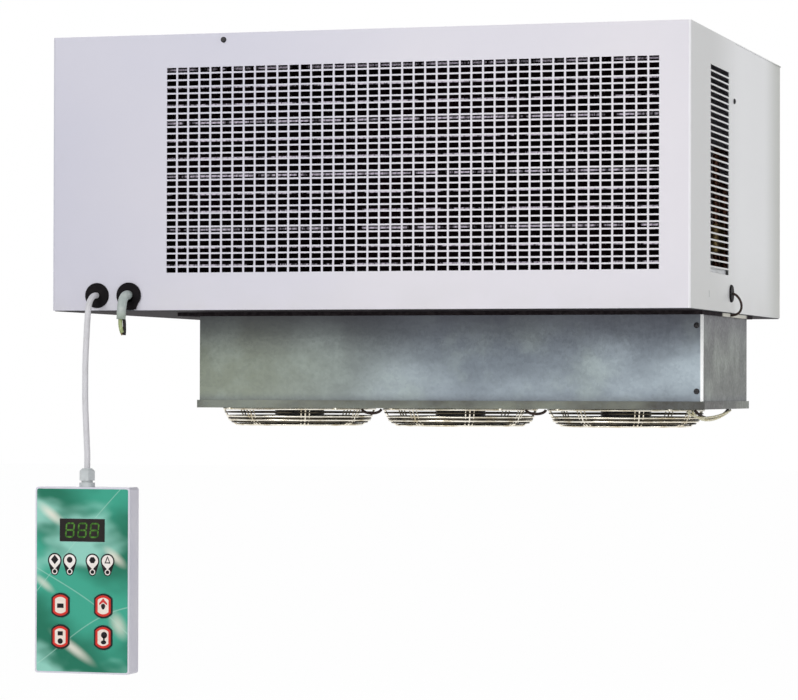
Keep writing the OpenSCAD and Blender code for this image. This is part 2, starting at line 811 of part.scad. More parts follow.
module compressor_shell() color("black") {
  union() {
    translate([comp_x, comp_y, comp_z0]) rotate_extrude() polygon([
      [0, 0], [comp_r * 0.6, 0], [comp_r * 0.9, comp_dome * 0.35], [comp_r, comp_dome * 0.9],
      [comp_r, comp_h - comp_dome], [comp_r * 0.94, comp_h - comp_dome * 0.55],
      [comp_r * 0.78, comp_h - comp_dome * 0.2], [comp_r * 0.5, comp_h - comp_dome * 0.03],
      [comp_r * 0.4, comp_h], [0, comp_h]
    ]);
    // Discharge and suction stubs
    translate([cond_header_x, comp_y, comp_z0 + comp_h / 2])
      cylinder(h = comp_h / 2 + port_h, r = discharge_r + port_wall);
    x_rod(comp_x, comp_x + comp_r + port_h, comp_y, suction_z, suction_r + port_wall);
    // Foot plate
    difference() {
      block([comp_x - comp_foot / 2, comp_y - comp_foot / 2, comp_foot_z],
            [comp_x + comp_foot / 2, comp_y + comp_foot / 2, comp_foot_z + comp_foot_t]);
      for (x = [-1, 1], y = [-1, 1])
        translate([
          comp_x + x * (comp_foot / 2 - comp_mount_in),
          comp_y + y * (comp_foot / 2 - comp_mount_in),
          comp_foot_z - cut
        ])
          cylinder(h = comp_foot_t + 2 * cut, r = comp_mount_r / 2 + fit_gap);
    }
    translate([comp_x, comp_y, comp_foot_z])
      cylinder(h = comp_z0 - comp_foot_z + comp_dome / 2, r = comp_r / 2);
  }
}

module compressor_mounts() color("dimgray") {
  for (x = [-1, 1], y = [-1, 1])
    translate([
      comp_x + x * (comp_foot / 2 - comp_mount_in),
      comp_y + y * (comp_foot / 2 - comp_mount_in),
      base_t
    ])
      rotate_extrude() polygon([
        [0, 0], [comp_mount_r, 0], [comp_mount_r, comp_foot_z - base_t], [comp_mount_r / 2,
          comp_foot_z - base_t],
        [comp_mount_r / 2, comp_foot_z - base_t + comp_foot_t + 2 * cut], [0,
          comp_foot_z - base_t + comp_foot_t + 2 * cut]
      ]);
}

module compressor_terminal_cover() color("darkslategray") difference() {
  z = comp_z0 + comp_h * 0.35;
  block([comp_x - terminal_w / 2, comp_y - comp_r - terminal_d, z],
        [comp_x + terminal_w / 2, comp_y - comp_r * 0.9, z + terminal_h]);
  translate([comp_x, comp_y, z - cut]) cylinder(h = terminal_h + 2 * cut, r = comp_r + fit_gap);
}

module liquid_receiver() color("darkslategray") union() {
  translate([receiver_x, receiver_y, 0]) rotate_extrude() polygon([
    [0, base_t], [receiver_r * 0.8, base_t], [receiver_r * 0.8, base_t + receiver_dome],
    [receiver_r, base_t + receiver_dome * 1.6], [receiver_r, receiver_h - receiver_dome],
    [receiver_r * 0.7, receiver_h - receiver_dome * 0.3], [receiver_r * 0.3, receiver_h], [0, receiver_h]
  ]);
  y_rod(receiver_x, receiver_y - receiver_r - port_h, receiver_y, condensate_z, liquid_r + port_wall);
  translate([receiver_x, receiver_y, receiver_h / 2])
    cylinder(h = receiver_h / 2 + port_h / 2, r = liquid_r + port_wall);
}

module filter_drier() color("darkgoldenrod")
  translate([drier_x0, receiver_y, liquid_z]) rotate([0, 90, 0]) rotate_extrude() polygon([
    [0, 0], [liquid_r + port_wall, 0], [liquid_r + port_wall, drier_r / 2], [drier_r, drier_r],
    [drier_r, drier_len - drier_r], [liquid_r + port_wall, drier_len - drier_r / 2],
    [liquid_r + port_wall, drier_len], [0, drier_len]
  ]);

module expansion_valve() color("goldenrod")
  translate([evap_header_x, valve_y, valve_z0]) union() {
    cylinder(h = valve_h, r = valve_r);
    // Diaphragm head on the side, away from the wall
    rotate([0, -90, 0]) translate([valve_h / 2, 0, 0]) cylinder(h = valve_r * 1.8, r = valve_r * 0.6);
    rotate([0, -90, 0]) translate([valve_h / 2, 0, valve_r * 1.8])
      cylinder(h = valve_r * 0.6, r = valve_r * 1.4);
  }

module pressure_switch() color("dimgray")
  translate([cond_header_x, switch_y, discharge_z + discharge_r + fit_gap]) rotate_extrude() polygon([
    [0, 0], [discharge_r / 2, 0], [discharge_r / 2, switch_stub_h], [switch_r * 0.6, switch_stub_h],
    [switch_r, switch_stub_h + switch_r / 2], [switch_r, switch_stub_h + switch_h], [0,
      switch_stub_h + switch_h]
  ]);

module discharge_pipe() color("peru")
  bent_tube([
    [cond_header_x, discharge_y, discharge_z],
    [cond_header_x, comp_y, discharge_z],
    [cond_header_x, comp_y, comp_z0 + comp_h + port_h]
  ], discharge_r, discharge_bend);

module condensate_pipe() color("peru")
  bent_tube([
    [cond_header_x, discharge_y, condensate_z],
    [cond_header_x, comp_y - comp_r - pipe_clear, condensate_z],
    [receiver_x, comp_y - comp_r - pipe_clear, condensate_z],
    [receiver_x, receiver_y - receiver_r - port_h, condensate_z]
  ], liquid_r, liquid_bend);

module liquid_pipe() color("peru") {
  // From the receiver to the drier
  bent_tube([
    [receiver_x, receiver_y, receiver_h + port_h / 2],
    [receiver_x, receiver_y, liquid_z],
    [drier_x0, receiver_y, liquid_z]
  ], liquid_r, liquid_bend);
  // From the drier to the valve
  bent_tube([
    [drier_x0 + drier_len, receiver_y, liquid_z],
    [evap_header_x, receiver_y, liquid_z],
    [evap_header_x, valve_y, liquid_z],
    [evap_header_x, valve_y, valve_z0 + valve_h]
  ], liquid_r, liquid_bend);
  // From the valve into the upper header
  bent_tube([
    [evap_header_x, valve_y, valve_z0],
    [evap_header_x, valve_y, evap_z0 + evap_h - tube_pitch / 2],
    [evap_header_x, evap_y0 + row_pitch / 2 - header_past, evap_z0 + evap_h - tube_pitch / 2]
  ], liquid_r, valve_bend);
}

module suction_pipe() color("peru")
  bent_tube([
    [evap_header_x, evap_y0 + evap_d - row_pitch / 2 + header_past, evap_z0 + tube_pitch / 2],
    [evap_header_x, evap_y0 + evap_d + row_pitch / 2, evap_z0 + tube_pitch / 2],
    [evap_header_x, evap_y0 + evap_d + row_pitch / 2, suction_z],
    [comp_x + comp_r + port_h + 4 * suction_r, evap_y0 + evap_d + row_pitch / 2, suction_z],
    [comp_x + comp_r + port_h + 4 * suction_r, comp_y, suction_z],
    [comp_x + comp_r + port_h, comp_y, suction_z]
  ], suction_r, suction_bend);

module electrical_box() color("silver") difference() {
  union() {
    difference() {
      block([ebox_x0, ebox_y0, ebox_z0], [ebox_x1, ebox_y1, ebox_z1]);
      block([ebox_x0 + ebox_t, ebox_y0 + ebox_t, ebox_z0 + ebox_t],
            [ebox_x1 - ebox_t, ebox_y1 - ebox_t, ebox_z1 + cut]);
    }
    // Folded foot that stands on the base tray
    block([ebox_x1 - ebox_t, ebox_y0, base_t], [ebox_x1, ebox_y1, ebox_z0 + ebox_t]);
    block([ebox_x1 - ebox_foot, ebox_y0, base_t], [ebox_x1, ebox_y1, base_t + ebox_t]);
    block([ebox_x0, ebox_y1 - ebox_t, base_t], [ebox_x1, ebox_y1, ebox_z0 + ebox_t]);
  }
  for (x = [control_x, supply_x])
    translate([min(x, ebox_x1 - 2 * gland_hole_r), ebox_y0 + 3 * gland_hole_r, ebox_z0 - cut])
      cylinder(h = ebox_t + 2 * cut, r = gland_hole_r);
}

module electrical_box_lid() color("silver") difference() {
  out = ebox_t + fit_gap;
  block([ebox_x0 - out, ebox_y0 - out, ebox_z1 - ebox_lid_h],
        [ebox_x1 + out, ebox_y1 + out, ebox_z1 + ebox_t]);
  block([ebox_x0 - fit_gap, ebox_y0 - fit_gap, ebox_z1 - ebox_lid_h - cut],
        [ebox_x1 + fit_gap, ebox_y1 + fit_gap, ebox_z1]);
}

// Round grommet about Z, its outer lip on z = 0 and its neck through the sheet below
module grommet(neck_r, bore_r) {
  lip_r = neck_r + grommet_rim;
  rotate_extrude() polygon([
    [bore_r, -cover_t - grommet_lip_t], [neck_r, -cover_t - grommet_lip_t], [neck_r, 0], [lip_r, 0],
    [lip_r, grommet_lip_t * 0.5], [lip_r * 0.9, grommet_lip_t], [bore_r, grommet_lip_t]
  ]);
}

module control_cable_grommet() color("black")
  translate([control_x, front_y, outlet_z]) rotate([90, 0, 0])
    grommet(outlet_r - fit_gap, cable_d / 2 + run_gap);

module supply_cable_grommet() color("black")
  translate([supply_x, front_y, 0]) rotate([90, 0, 0]) difference() {
    union() {
      linear_extrude(grommet_lip_t) union() {
        translate([0, outlet_z]) circle(outlet_r + grommet_rim);
        polygon([
          [-outlet_r - grommet_rim + cut, outlet_z - grommet_rim],
          [-outlet_r / 2 - grommet_rim, cover_z0 + cut],
          [outlet_r / 2 + grommet_rim, cover_z0 + cut],
          [outlet_r + grommet_rim - cut, outlet_z - grommet_rim]
        ]);
      }
      translate([0, 0, -cover_t - grommet_lip_t]) linear_extrude(cover_t + grommet_lip_t) union() {
        translate([0, outlet_z]) circle(outlet_r - fit_gap);
        translate([-outlet_r / 2 + fit_gap, base_t + grommet_rim])
          square([outlet_r - 2 * fit_gap, outlet_z - base_t - grommet_rim]);
      }
    }
    translate([0, outlet_z - grommet_rim, -cover_t - grommet_lip_t - cut])
      cylinder(h = cover_t + 2 * (grommet_lip_t + cut), r = supply_r + run_gap);
  }

module side_lead_grommet() color("black")
  translate([half_w, side_outlet_y, side_outlet_z]) rotate([0, 90, 0])
    grommet(side_outlet_r - fit_gap, lead_r + run_gap);

module control_cable() color("lightgray") swept_cable(control_route, cable_d / 2, [unit, 0, 0]);

// Supply cable with its three bare cores below the sheath
module supply_cable() color("slategray") union() {
  y_out = front_y - grommet_lip_t - supply_out;
  z_in = outlet_z - grommet_rim;
  bent_tube([
    [supply_x, front_y - grommet_lip_t, z_in],
    [supply_x, y_out, z_in],
    [supply_x, y_out, supply_end_z]
  ], supply_r, supply_bend);
  for (k = [0:2]) {
    a = 90 + 120 * k;
    top = [supply_x + core_spread * cos(a), y_out + core_spread * sin(a), supply_end_z];
    rod(top + [0, 0, core_r], top + [2 * core_spread * cos(a), core_spread * sin(a),
                                     core_end_z - supply_end_z], core_r);
  }
}

// Thin lead from the side outlet down into the notch in the gasket
module side_lead() color("maroon") {
  x_in = half_w + grommet_lip_t;
  notch_y = (lead_notch_y0 + lead_notch_y1) / 2;
  swept_cable(curve([
    [x_in, side_outlet_y, side_outlet_z],
    [x_in + 2 * lead_loop, side_outlet_y, side_outlet_z - lead_r],
    [x_in + 3 * lead_loop, notch_y, -gasket_t / 2],
    [sleeve_x1 + lead_r, notch_y, -gasket_t / 2]
  ]), lead_r, [0, unit, 0]);
}

module evaporator_lid() color("whitesmoke") difference() {
  x0 = sleeve_x0 - lid_rim;
  x1 = sleeve_x1 + lid_rim;
  y0 = sleeve_y0 - lid_rim;
  y1 = sleeve_y1 + lid_rim;
  block([x0, y0, base_t], [x1, y1, lid_top]);
  block([x0 + lid_wall, y0 + lid_wall, base_t - cut], [x1 - lid_wall, y1 - lid_wall, lid_top - lid_roof]);
  translate([evap_header_x, valve_y, 0]) cylinder(h = lid_top + cut, r = liquid_r + fit_gap);
  translate([evap_header_x, evap_y0 + evap_d + row_pitch / 2, 0])
    cylinder(h = lid_top + cut, r = suction_r + fit_gap);
}

module ceiling_sleeve() color("darkgray") difference() {
  block([sleeve_x0, sleeve_y0, sleeve_bottom], [sleeve_x1, sleeve_y1, 0]);
  block([sleeve_x0 + sleeve_t, sleeve_y0 + sleeve_t, sleeve_bottom - cut],
        [sleeve_x1 - sleeve_t, sleeve_y1 - sleeve_t, cut]);
  for (z = sleeve_screw_zs)
    y_rod(sleeve_x1 - sleeve_screw_in, sleeve_y0 - cut, sleeve_y0 + sleeve_t + cut, z, screw_hole_r);
  y_rod(sleeve_xc, sleeve_y1 - sleeve_t - cut, sleeve_y1 + cut, spigot_z, spigot_r + fit_gap);
}

module sleeve_flange() color("gray") difference() {
  block([sleeve_x0 - flange_out, sleeve_y0 - flange_out, -sleeve_drop],
        [sleeve_x1 + flange_out, sleeve_y1 + flange_out, -sleeve_drop + flange_h]);
  block([sleeve_x0 - fit_gap, sleeve_y0 - fit_gap, -sleeve_drop + flange_t],
        [sleeve_x1 + fit_gap, sleeve_y1 + fit_gap, flange_h]);
  block([sleeve_x0 + flange_reach, sleeve_y0 + flange_reach, -sleeve_drop - cut],
        [sleeve_x1 - flange_reach, sleeve_y1 - flange_reach, flange_h]);
}

module fan_plate() color("silver") difference() {
  c = sleeve_t + fit_gap;
  union() {
    block([sleeve_x0 + c, sleeve_y0 + c, plate_z], [sleeve_x1 - c, sleeve_y1 - c, plate_top]);
    for (x = fan_xs)
      translate([x, fan_y, plate_z]) cylinder(h = fan_ring_h, r = fan_hole_r + sleeve_t);
  }
  for (x = fan_xs) {
    translate([x, fan_y, plate_z - cut]) cylinder(h = fan_ring_h + 2 * cut, r = fan_hole_r);
    translate([x - outlet_slot_x / 2, sleeve_y1 - sleeve_t - outlet_slot_back - outlet_slot_y,
               plate_z - cut])
      cube([outlet_slot_x, outlet_slot_y, sleeve_t + 2 * cut]);
  }
}

module evaporator_fins() color("lightsteelblue")
  fin_block(evap_x0, evap_len, evap_y0, evap_d, evap_z0, evap_rows, evap_cols);

module evaporator_tubes() color("peru")
  coil_tubes(evap_x0, evap_len, evap_y0, evap_z0, evap_rows, evap_cols, 1, 1, -1);

module evaporator_end_plates() color("silver") {
  for (x = [evap_x0 - end_plate_t, evap_x0 + evap_len])
    end_plate(x, evap_y0, evap_d, tray_z0 + tray_t, lid_top - lid_roof - fit_gap, evap_z0, evap_rows,
              evap_cols);
}

module defrost_heater() color("dimgray") {
  z = evap_z0 - fit_gap - heater_r;
  ya = evap_y0 + row_pitch / 2;
  yb = evap_y0 + evap_d - row_pitch / 2;
  xa = evap_x0 + heater_in;
  xb = evap_x0 + evap_len - heater_in;
  bent_tube([[xa, ya, z], [xb, ya, z], [xb, yb, z], [xa, yb, z]], heater_r, row_pitch / 2 - fit_gap);
}

module drip_tray() color("whitesmoke") difference() {
  x0 = evap_x0 - 2 * header_out;
  x1 = evap_x0 + evap_len + 2 * header_out - header_r;
  y0 = evap_y0 - tray_side;
  y1 = evap_y0 + evap_d + tray_side;
  union() {
    difference() {
      block([x0, y0, tray_z0], [x1, y1, tray_z0 + tray_h]);
      block([x0 + tray_t, y0 + tray_t, tray_z0 + tray_t],
            [x1 - tray_t, y1 - tray_t, tray_z0 + tray_h + cut]);
    }
    // Feet that carry the tray on the fan plate
    for (x = [x0, sleeve_xc - tray_foot / 2, x1 - tray_foot])
      block([x, y0, plate_top], [x + tray_foot, y1, tray_z0]);
    y_rod(sleeve_xc, y1 - tray_t, spigot_y0, spigot_z, spigot_r - spigot_wall / 2);
    y_rod(sleeve_xc, spigot_y0, spigot_y0 + spigot_len, spigot_z, spigot_r);
  }
  y_rod(sleeve_xc, y1 - 2 * tray_t, spigot_y0 + spigot_len + cut, spigot_z, spigot_r - spigot_wall);
}

module evaporator_fan(i) color("black")
  translate([fan_xs[i], fan_y, fan_z]) fan_rotor(fan_d / 2, fan_hub_r, fan_hub_h);

module evaporator_fan_left() evaporator_fan(0);

module evaporator_fan_middle() evaporator_fan(1);

module evaporator_fan_right() evaporator_fan(2);

module evaporator_motors() color("dimgray") {
  for (x = fan_xs)
    translate([x, fan_y, motor_z0]) rotate_extrude() polygon([
      [0, 0], [motor_r * 0.9, 0], [motor_r, motor_h * 0.15], [motor_r, motor_h], [shaft_r, motor_h],
      [shaft_r, fan_z + fan_hub_h / 2 - motor_z0], [0, fan_z + fan_hub_h / 2 - motor_z0]
    ]);
}

// Wire basket of round rings on radial wires that run through the rings, with four feet under the fan plate
module fan_guard(i) color("silver")
  translate([fan_xs[i], fan_y, 0]) {
    drop = guard_z0 - guard_z1;
    w = guard_wire / 2;
    for (s = guard_ring_shares)
      translate([0, 0, guard_z0 - s[1] * drop]) rotate_extrude() translate([guard_r * s[0] - w, 0])
        circle(w);
    for (k = [0:guard_spokes - 1])
      rotate([0, 0, (k + 0.5) * 360 / guard_spokes]) {
        rod([guard_r - w, 0, guard_z0], [guard_r * guard_side_share - w, 0,
          guard_z0 - guard_side_drop * drop], w * 0.8);
        rod([guard_r * guard_side_share - w, 0, guard_z0 - guard_side_drop * drop],
            [guard_r * guard_flat_share - w, 0, guard_z1], w * 0.8);
        rod([guard_r * guard_eye_share - w, 0, guard_z1], [guard_r * guard_flat_share - w, 0, guard_z1],
            w * 0.8);
      }
    for (k = [0:guard_feet - 1])
      rotate([0, 0, (k + 0.5) * 360 / guard_feet])
        translate([guard_r + guard_foot_out - guard_foot_r, 0, guard_z0 - w / 2])
          cylinder(h = plate_z - fit_gap - guard_z0 + w / 2, r = guard_foot_r);
  }

module fan_guard_left() fan_guard(0);

module fan_guard_middle() fan_guard(1);

module fan_guard_right() fan_guard(2);

// Leads that run from guard to guard and on to the rear right corner
module fan_leads() color("black") {
  r = guard_r + fit_gap + fan_lead_r;
  z = guard_z0;
  reach = r * cos(fan_lead_angle);
  y = fan_y - r * sin(fan_lead_angle);
  x_end = sleeve_x1 - fan_lead_in;
  for (i = [0, 1])
    swept_cable(curve([
      [fan_xs[i] + reach, y, z],
      [fan_xs[i] + reach + fan_lead_sag / 4, y, z - fan_lead_sag],
      [fan_xs[i + 1] - reach - fan_lead_sag / 4, y, z - fan_lead_sag],
      [fan_xs[i + 1] - reach, y, z]
    ]), fan_lead_r, [0, 0, unit]);
  swept_cable(curve([
    [fan_xs[2] + reach, y, z],
    [x_end, y + fan_lead_sag, z - 2 * fan_lead_sag],
    [x_end, sleeve_y1 - 2 * fan_lead_reach, z - 2 * fan_lead_sag],
    [x_end, sleeve_y1 - fan_lead_reach, plate_z - fit_gap - fan_lead_r]
  ]), fan_lead_r, [0, 0, unit]);
}

module cable_gland() color("lightgray")
  translate([ctrl_x, ctrl_y, 0]) union() {
    z_nut = gland_z1 - gland_nut_h;
    r_nut = gland_nut_w / 2;
    translate([0, 0, z_nut]) cylinder(h = gland_nut_h - gland_cone_h, d = gland_nut_w / cos(30), $fn = 6);
    translate([0, 0, gland_z1 - gland_cone_h])
      cylinder(h = gland_cone_h, r1 = r_nut, r2 = r_nut - gland_cone_h);
    translate([0, 0, ctrl_top - ctrl_wall])
      cylinder(h = z_nut - ctrl_top + ctrl_wall + cut, r = gland_neck_r);
    translate([0, 0, ctrl_top]) cylinder(h = gland_collar_h, r = gland_collar_r);
  }

// Half of the controller case between two depths
module case_shell(y0, y1) {
  translate([ctrl_x, y1, ctrl_zc]) rotate([90, 0, 0]) linear_extrude(y1 - y0)
    round_rect([-ctrl_w / 2, -ctrl_h / 2], [ctrl_w / 2, ctrl_h / 2], ctrl_r);
}

module case_inner(y0, y1) {
  translate([ctrl_x, y1, ctrl_zc]) rotate([90, 0, 0]) linear_extrude(y1 - y0)
    round_rect([-ctrl_w / 2 + ctrl_wall, -ctrl_h / 2 + ctrl_wall],
               [ctrl_w / 2 - ctrl_wall, ctrl_h / 2 - ctrl_wall], ctrl_r - ctrl_wall / 2);
}

// Outline of a key: round ends between two flat sides, grown by e
module key_outline(e) {
  intersection() {
    circle(key_h / 2 + e);
    square([key_w + 2 * e, key_h + 2 * e], center = true);
  }
}

// Places its children at each key, with Z pointing to the front
module at_keys() {
  for (i = [-1, 1], j = [0, 1])
    translate([key_place(i, j)[0], 0, key_place(i, j)[1]]) children();
}

module controller_front() color("whitesmoke") difference() {
  union() {
    difference() {
      case_shell(ctrl_front_y, ctrl_split_y);
      case_inner(ctrl_front_y + ctrl_wall, ctrl_split_y + cut);
    }
    for (x = [-1, 1], z = [-1, 1])
      y_rod(ctrl_x + x * (ctrl_w / 2 - post_in), ctrl_front_y + ctrl_wall / 2,
            board_y, ctrl_zc + z * (ctrl_h / 2 - post_in), post_r);
  }
  at_keys()
    translate([0, ctrl_front_y + ctrl_wall + cut, 0]) rotate([90, 0, 0])
      linear_extrude(ctrl_wall + 2 * cut) key_outline(fit_gap);
  block([ctrl_x - window_w / 2 - fit_gap, ctrl_front_y - cut,
         ctrl_top - window_down - window_h / 2 - fit_gap],
        [ctrl_x + window_w / 2 + fit_gap, ctrl_front_y + window_sink,
         ctrl_top - window_down + window_h / 2 + fit_gap]);
  block([ctrl_x - view_w / 2, ctrl_front_y - cut, ctrl_top - window_down - view_h / 2],
        [ctrl_x + view_w / 2, ctrl_front_y + ctrl_wall + cut, ctrl_top - window_down + view_h / 2]);
  for (x = led_xs)
    y_rod(ctrl_x + x, ctrl_front_y - cut, ctrl_front_y + ctrl_wall + cut, ctrl_top - led_down,
          led_r + fit_gap);
  translate([ctrl_x, ctrl_y, ctrl_top - ctrl_wall - cut])
    cylinder(h = ctrl_wall + 2 * cut, r = gland_neck_r + run_gap);
}

module controller_back() color("whitesmoke") difference() {
  union() {
    difference() {
      case_shell(ctrl_split_y, ctrl_back_y);
      case_inner(ctrl_split_y - cut, ctrl_back_y - ctrl_wall);
    }
    for (x = [-1, 1], z = [-1, 1])
      y_rod(ctrl_x + x * (ctrl_w / 2 - post_in), board_y + board_t + fit_gap, ctrl_back_y - ctrl_wall / 2,
            ctrl_zc + z * (ctrl_h / 2 - post_in), post_r);
  }
  for (x = [-1, 1], z = [-1, 1])
    y_rod(ctrl_x + x * (ctrl_w / 2 - post_in), ctrl_y, ctrl_back_y + cut,
          ctrl_zc + z * (ctrl_h / 2 - post_in), post_screw_r);
  translate([ctrl_x, ctrl_y, ctrl_top - ctrl_wall - cut])
    cylinder(h = ctrl_wall + 2 * cut, r = gland_neck_r + run_gap);
}

module keypad_overlay() color("mediumaquamarine") difference() {
  translate([ctrl_x, ctrl_front_y, ctrl_zc]) rotate([90, 0, 0]) linear_extrude(overlay_t)
    round_rect([-ctrl_w / 2 + overlay_in, -ctrl_h / 2 + overlay_in],
               [ctrl_w / 2 - overlay_in, ctrl_h / 2 - overlay_in], ctrl_r - overlay_in / 2);
  at_keys()
    translate([0, ctrl_front_y + cut, 0]) rotate([90, 0, 0])
      linear_extrude(overlay_t + 2 * cut) key_outline(fit_gap);
  block([ctrl_x - window_w / 2 - fit_gap, ctrl_front_y - overlay_t - cut,
         ctrl_top - window_down - window_h / 2 - fit_gap],
        [ctrl_x + window_w / 2 + fit_gap, ctrl_front_y + cut,
         ctrl_top - window_down + window_h / 2 + fit_gap]);
  for (x = led_xs)
    y_rod(ctrl_x + x, ctrl_front_y - overlay_t - cut, ctrl_front_y + cut, ctrl_top - led_down,
          led_r + fit_gap);
}

module display_window() color("black")
  block([ctrl_x - window_w / 2, ctrl_front_y + window_sink - window_t,
         ctrl_top - window_down - window_h / 2],
        [ctrl_x + window_w / 2, ctrl_front_y + window_sink, ctrl_top - window_down + window_h / 2]);

// Board with its display, its four indicator lamps and a switch under each key
module circuit_board() color("seagreen") union() {
  y_switch = ctrl_front_y + ctrl_wall + key_flange_t + key_travel + fit_gap;
  block([ctrl_x - ctrl_w / 2 + board_in, board_y, ctrl_top - ctrl_h + board_in],
        [ctrl_x + ctrl_w / 2 - board_in, board_y + board_t, ctrl_top - board_in - 2 * gland_neck_r]);
  block([ctrl_x - view_w / 2 + cut, ctrl_front_y + window_sink + fit_gap,
         ctrl_top - window_down - view_h / 2 + cut],
        [ctrl_x + view_w / 2 - cut, board_y + board_t / 2, ctrl_top - window_down + view_h / 2 - cut]);
  at_keys() y_rod(0, y_switch, board_y + board_t / 2, 0, post_r);
  for (x = led_xs)
    y_rod(ctrl_x + x, ctrl_front_y - overlay_t, board_y + board_t / 2, ctrl_top - led_down, led_r);
}

// Key with a flange behind the case wall that keeps it in
module controller_key(i, j) color("bisque")
  translate([key_place(i, j)[0], ctrl_front_y, key_place(i, j)[1]]) rotate([90, 0, 0]) union() {
    translate([0, 0, -ctrl_wall - key_flange_t])
      linear_extrude(ctrl_wall + key_flange_t + overlay_t + key_proud)
      key_outline(0);
    translate([0, 0, -ctrl_wall - key_flange_t]) linear_extrude(key_flange_t - run_gap)
      key_outline(key_flange);
  }

module key_upper_left() controller_key(-1, 0);

module key_upper_right() controller_key(1, 0);

module key_lower_left() controller_key(-1, 1);

module key_lower_right() controller_key(1, 1);

base_tray();
front_cover();
rear_cover();
top_cover();
panel_screws();
ceiling_gasket();
condenser_fins();
condenser_tubes();
condenser_end_plates();
fan_shroud();
condenser_fan_left();
condenser_fan_right();
condenser_motor_left();
condenser_motor_right();
compressor_shell();
compressor_mounts();
compressor_terminal_cover();
liquid_receiver();
filter_drier();
expansion_valve();
pressure_switch();
discharge_pipe();
suction_pipe();
condensate_pipe();
liquid_pipe();
electrical_box();
electrical_box_lid();
control_cable_grommet();
supply_cable_grommet();
side_lead_grommet();
control_cable();
supply_cable();
side_lead();
evaporator_lid();
ceiling_sleeve();
sleeve_flange();
fan_plate();
evaporator_fins();
evaporator_tubes();
evaporator_end_plates();
defrost_heater();
drip_tray();
evaporator_fan_left();
evaporator_fan_middle();
evaporator_fan_right();
evaporator_motors();
fan_guard_left();
fan_guard_middle();
fan_guard_right();
fan_leads();
cable_gland();
controller_front();
controller_back();
keypad_overlay();
display_window();
circuit_board();
key_upper_left();
key_upper_right();
key_lower_left();
key_lower_right();
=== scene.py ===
import math

import bmesh
import bpy
from mathutils import Matrix, Vector


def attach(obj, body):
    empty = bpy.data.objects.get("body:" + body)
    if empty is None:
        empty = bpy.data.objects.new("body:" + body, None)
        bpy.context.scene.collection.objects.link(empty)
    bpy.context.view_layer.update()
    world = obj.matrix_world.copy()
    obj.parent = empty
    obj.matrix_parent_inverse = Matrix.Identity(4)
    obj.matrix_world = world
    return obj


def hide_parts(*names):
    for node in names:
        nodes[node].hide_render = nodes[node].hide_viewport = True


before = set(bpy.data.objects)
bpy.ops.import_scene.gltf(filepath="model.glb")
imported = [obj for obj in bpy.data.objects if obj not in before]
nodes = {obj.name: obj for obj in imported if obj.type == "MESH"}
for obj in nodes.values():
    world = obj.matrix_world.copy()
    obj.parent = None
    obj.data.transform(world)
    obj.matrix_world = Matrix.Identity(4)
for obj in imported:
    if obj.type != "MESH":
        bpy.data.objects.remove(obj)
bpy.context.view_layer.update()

# ---------------------------------------------------------------- camera
# The unit hangs from the roof of a cold room and is seen from the front and
# a little from the right, about at the height of the ceiling.
camera_data = bpy.data.cameras.new("camera")
camera_data.sensor_width = 36
camera_data.lens = 152.0
camera_data.clip_start, camera_data.clip_end = 0.1, 60
camera = bpy.data.objects.new("camera", camera_data)
bpy.context.scene.collection.objects.link(camera)
stand_point = (1.3695, -4.7826, -0.1085)
yaw, pitch, roll = math.radians(-16.527), math.radians(0.66), math.radians(0.15)
ahead = Vector((math.sin(yaw) * math.cos(pitch), math.cos(yaw) * math.cos(pitch), math.sin(pitch)))
level = Vector((math.cos(yaw), -math.sin(yaw), 0))
above = level.cross(ahead)
across = level * math.cos(roll) + above * math.sin(roll)
turned = Matrix((across, across.cross(ahead), -ahead)).transposed()
camera.matrix_world = Matrix.Translation(stand_point) @ turned.to_4x4()
bpy.context.scene.camera = camera


# ---------------------------------------------------------------- control cable
# Round light grey cable, 8.5 mm thick, that leaves its grommet in the front
# panel, bends down and hangs straight into the gland of the controller.
class Val:
    """One socket of a material, with the operators that shader maths needs."""

    def __init__(self, mat, socket):
        self.mat, self.socket = mat, socket

    def _two(self, how, a, b):
        return self.mat.node("ShaderNodeMath", {"operation": how}, {0: a, 1: b})

    def __add__(self, b):
        return self._two("ADD", self, b)

    __radd__ = __add__

    def __sub__(self, b):
        return self._two("SUBTRACT", self, b)

    def __rsub__(self, b):
        return self._two("SUBTRACT", b, self)

    def __mul__(self, b):
        return self._two("MULTIPLY", self, b)

    __rmul__ = __mul__

    def __truediv__(self, b):
        return self._two("DIVIDE", self, b)

    def __pow__(self, b):
        return self._two("POWER", self, b)

    def __mod__(self, b):
        return self._two("FLOORED_MODULO", self, b)

    def least(self, b):
        return self._two("MINIMUM", self, b)

    def sin(self):
        return self.mat.node("ShaderNodeMath", {"operation": "SINE"}, {0: self})

    def absolute(self):
        return self.mat.node("ShaderNodeMath", {"operation": "ABSOLUTE"}, {0: self})

    def smooth(self, low, high):
        return self.mat.node("ShaderNodeMapRange", {"interpolation_type": "SMOOTHSTEP"},
                             {0: self, 1: low, 2: high})


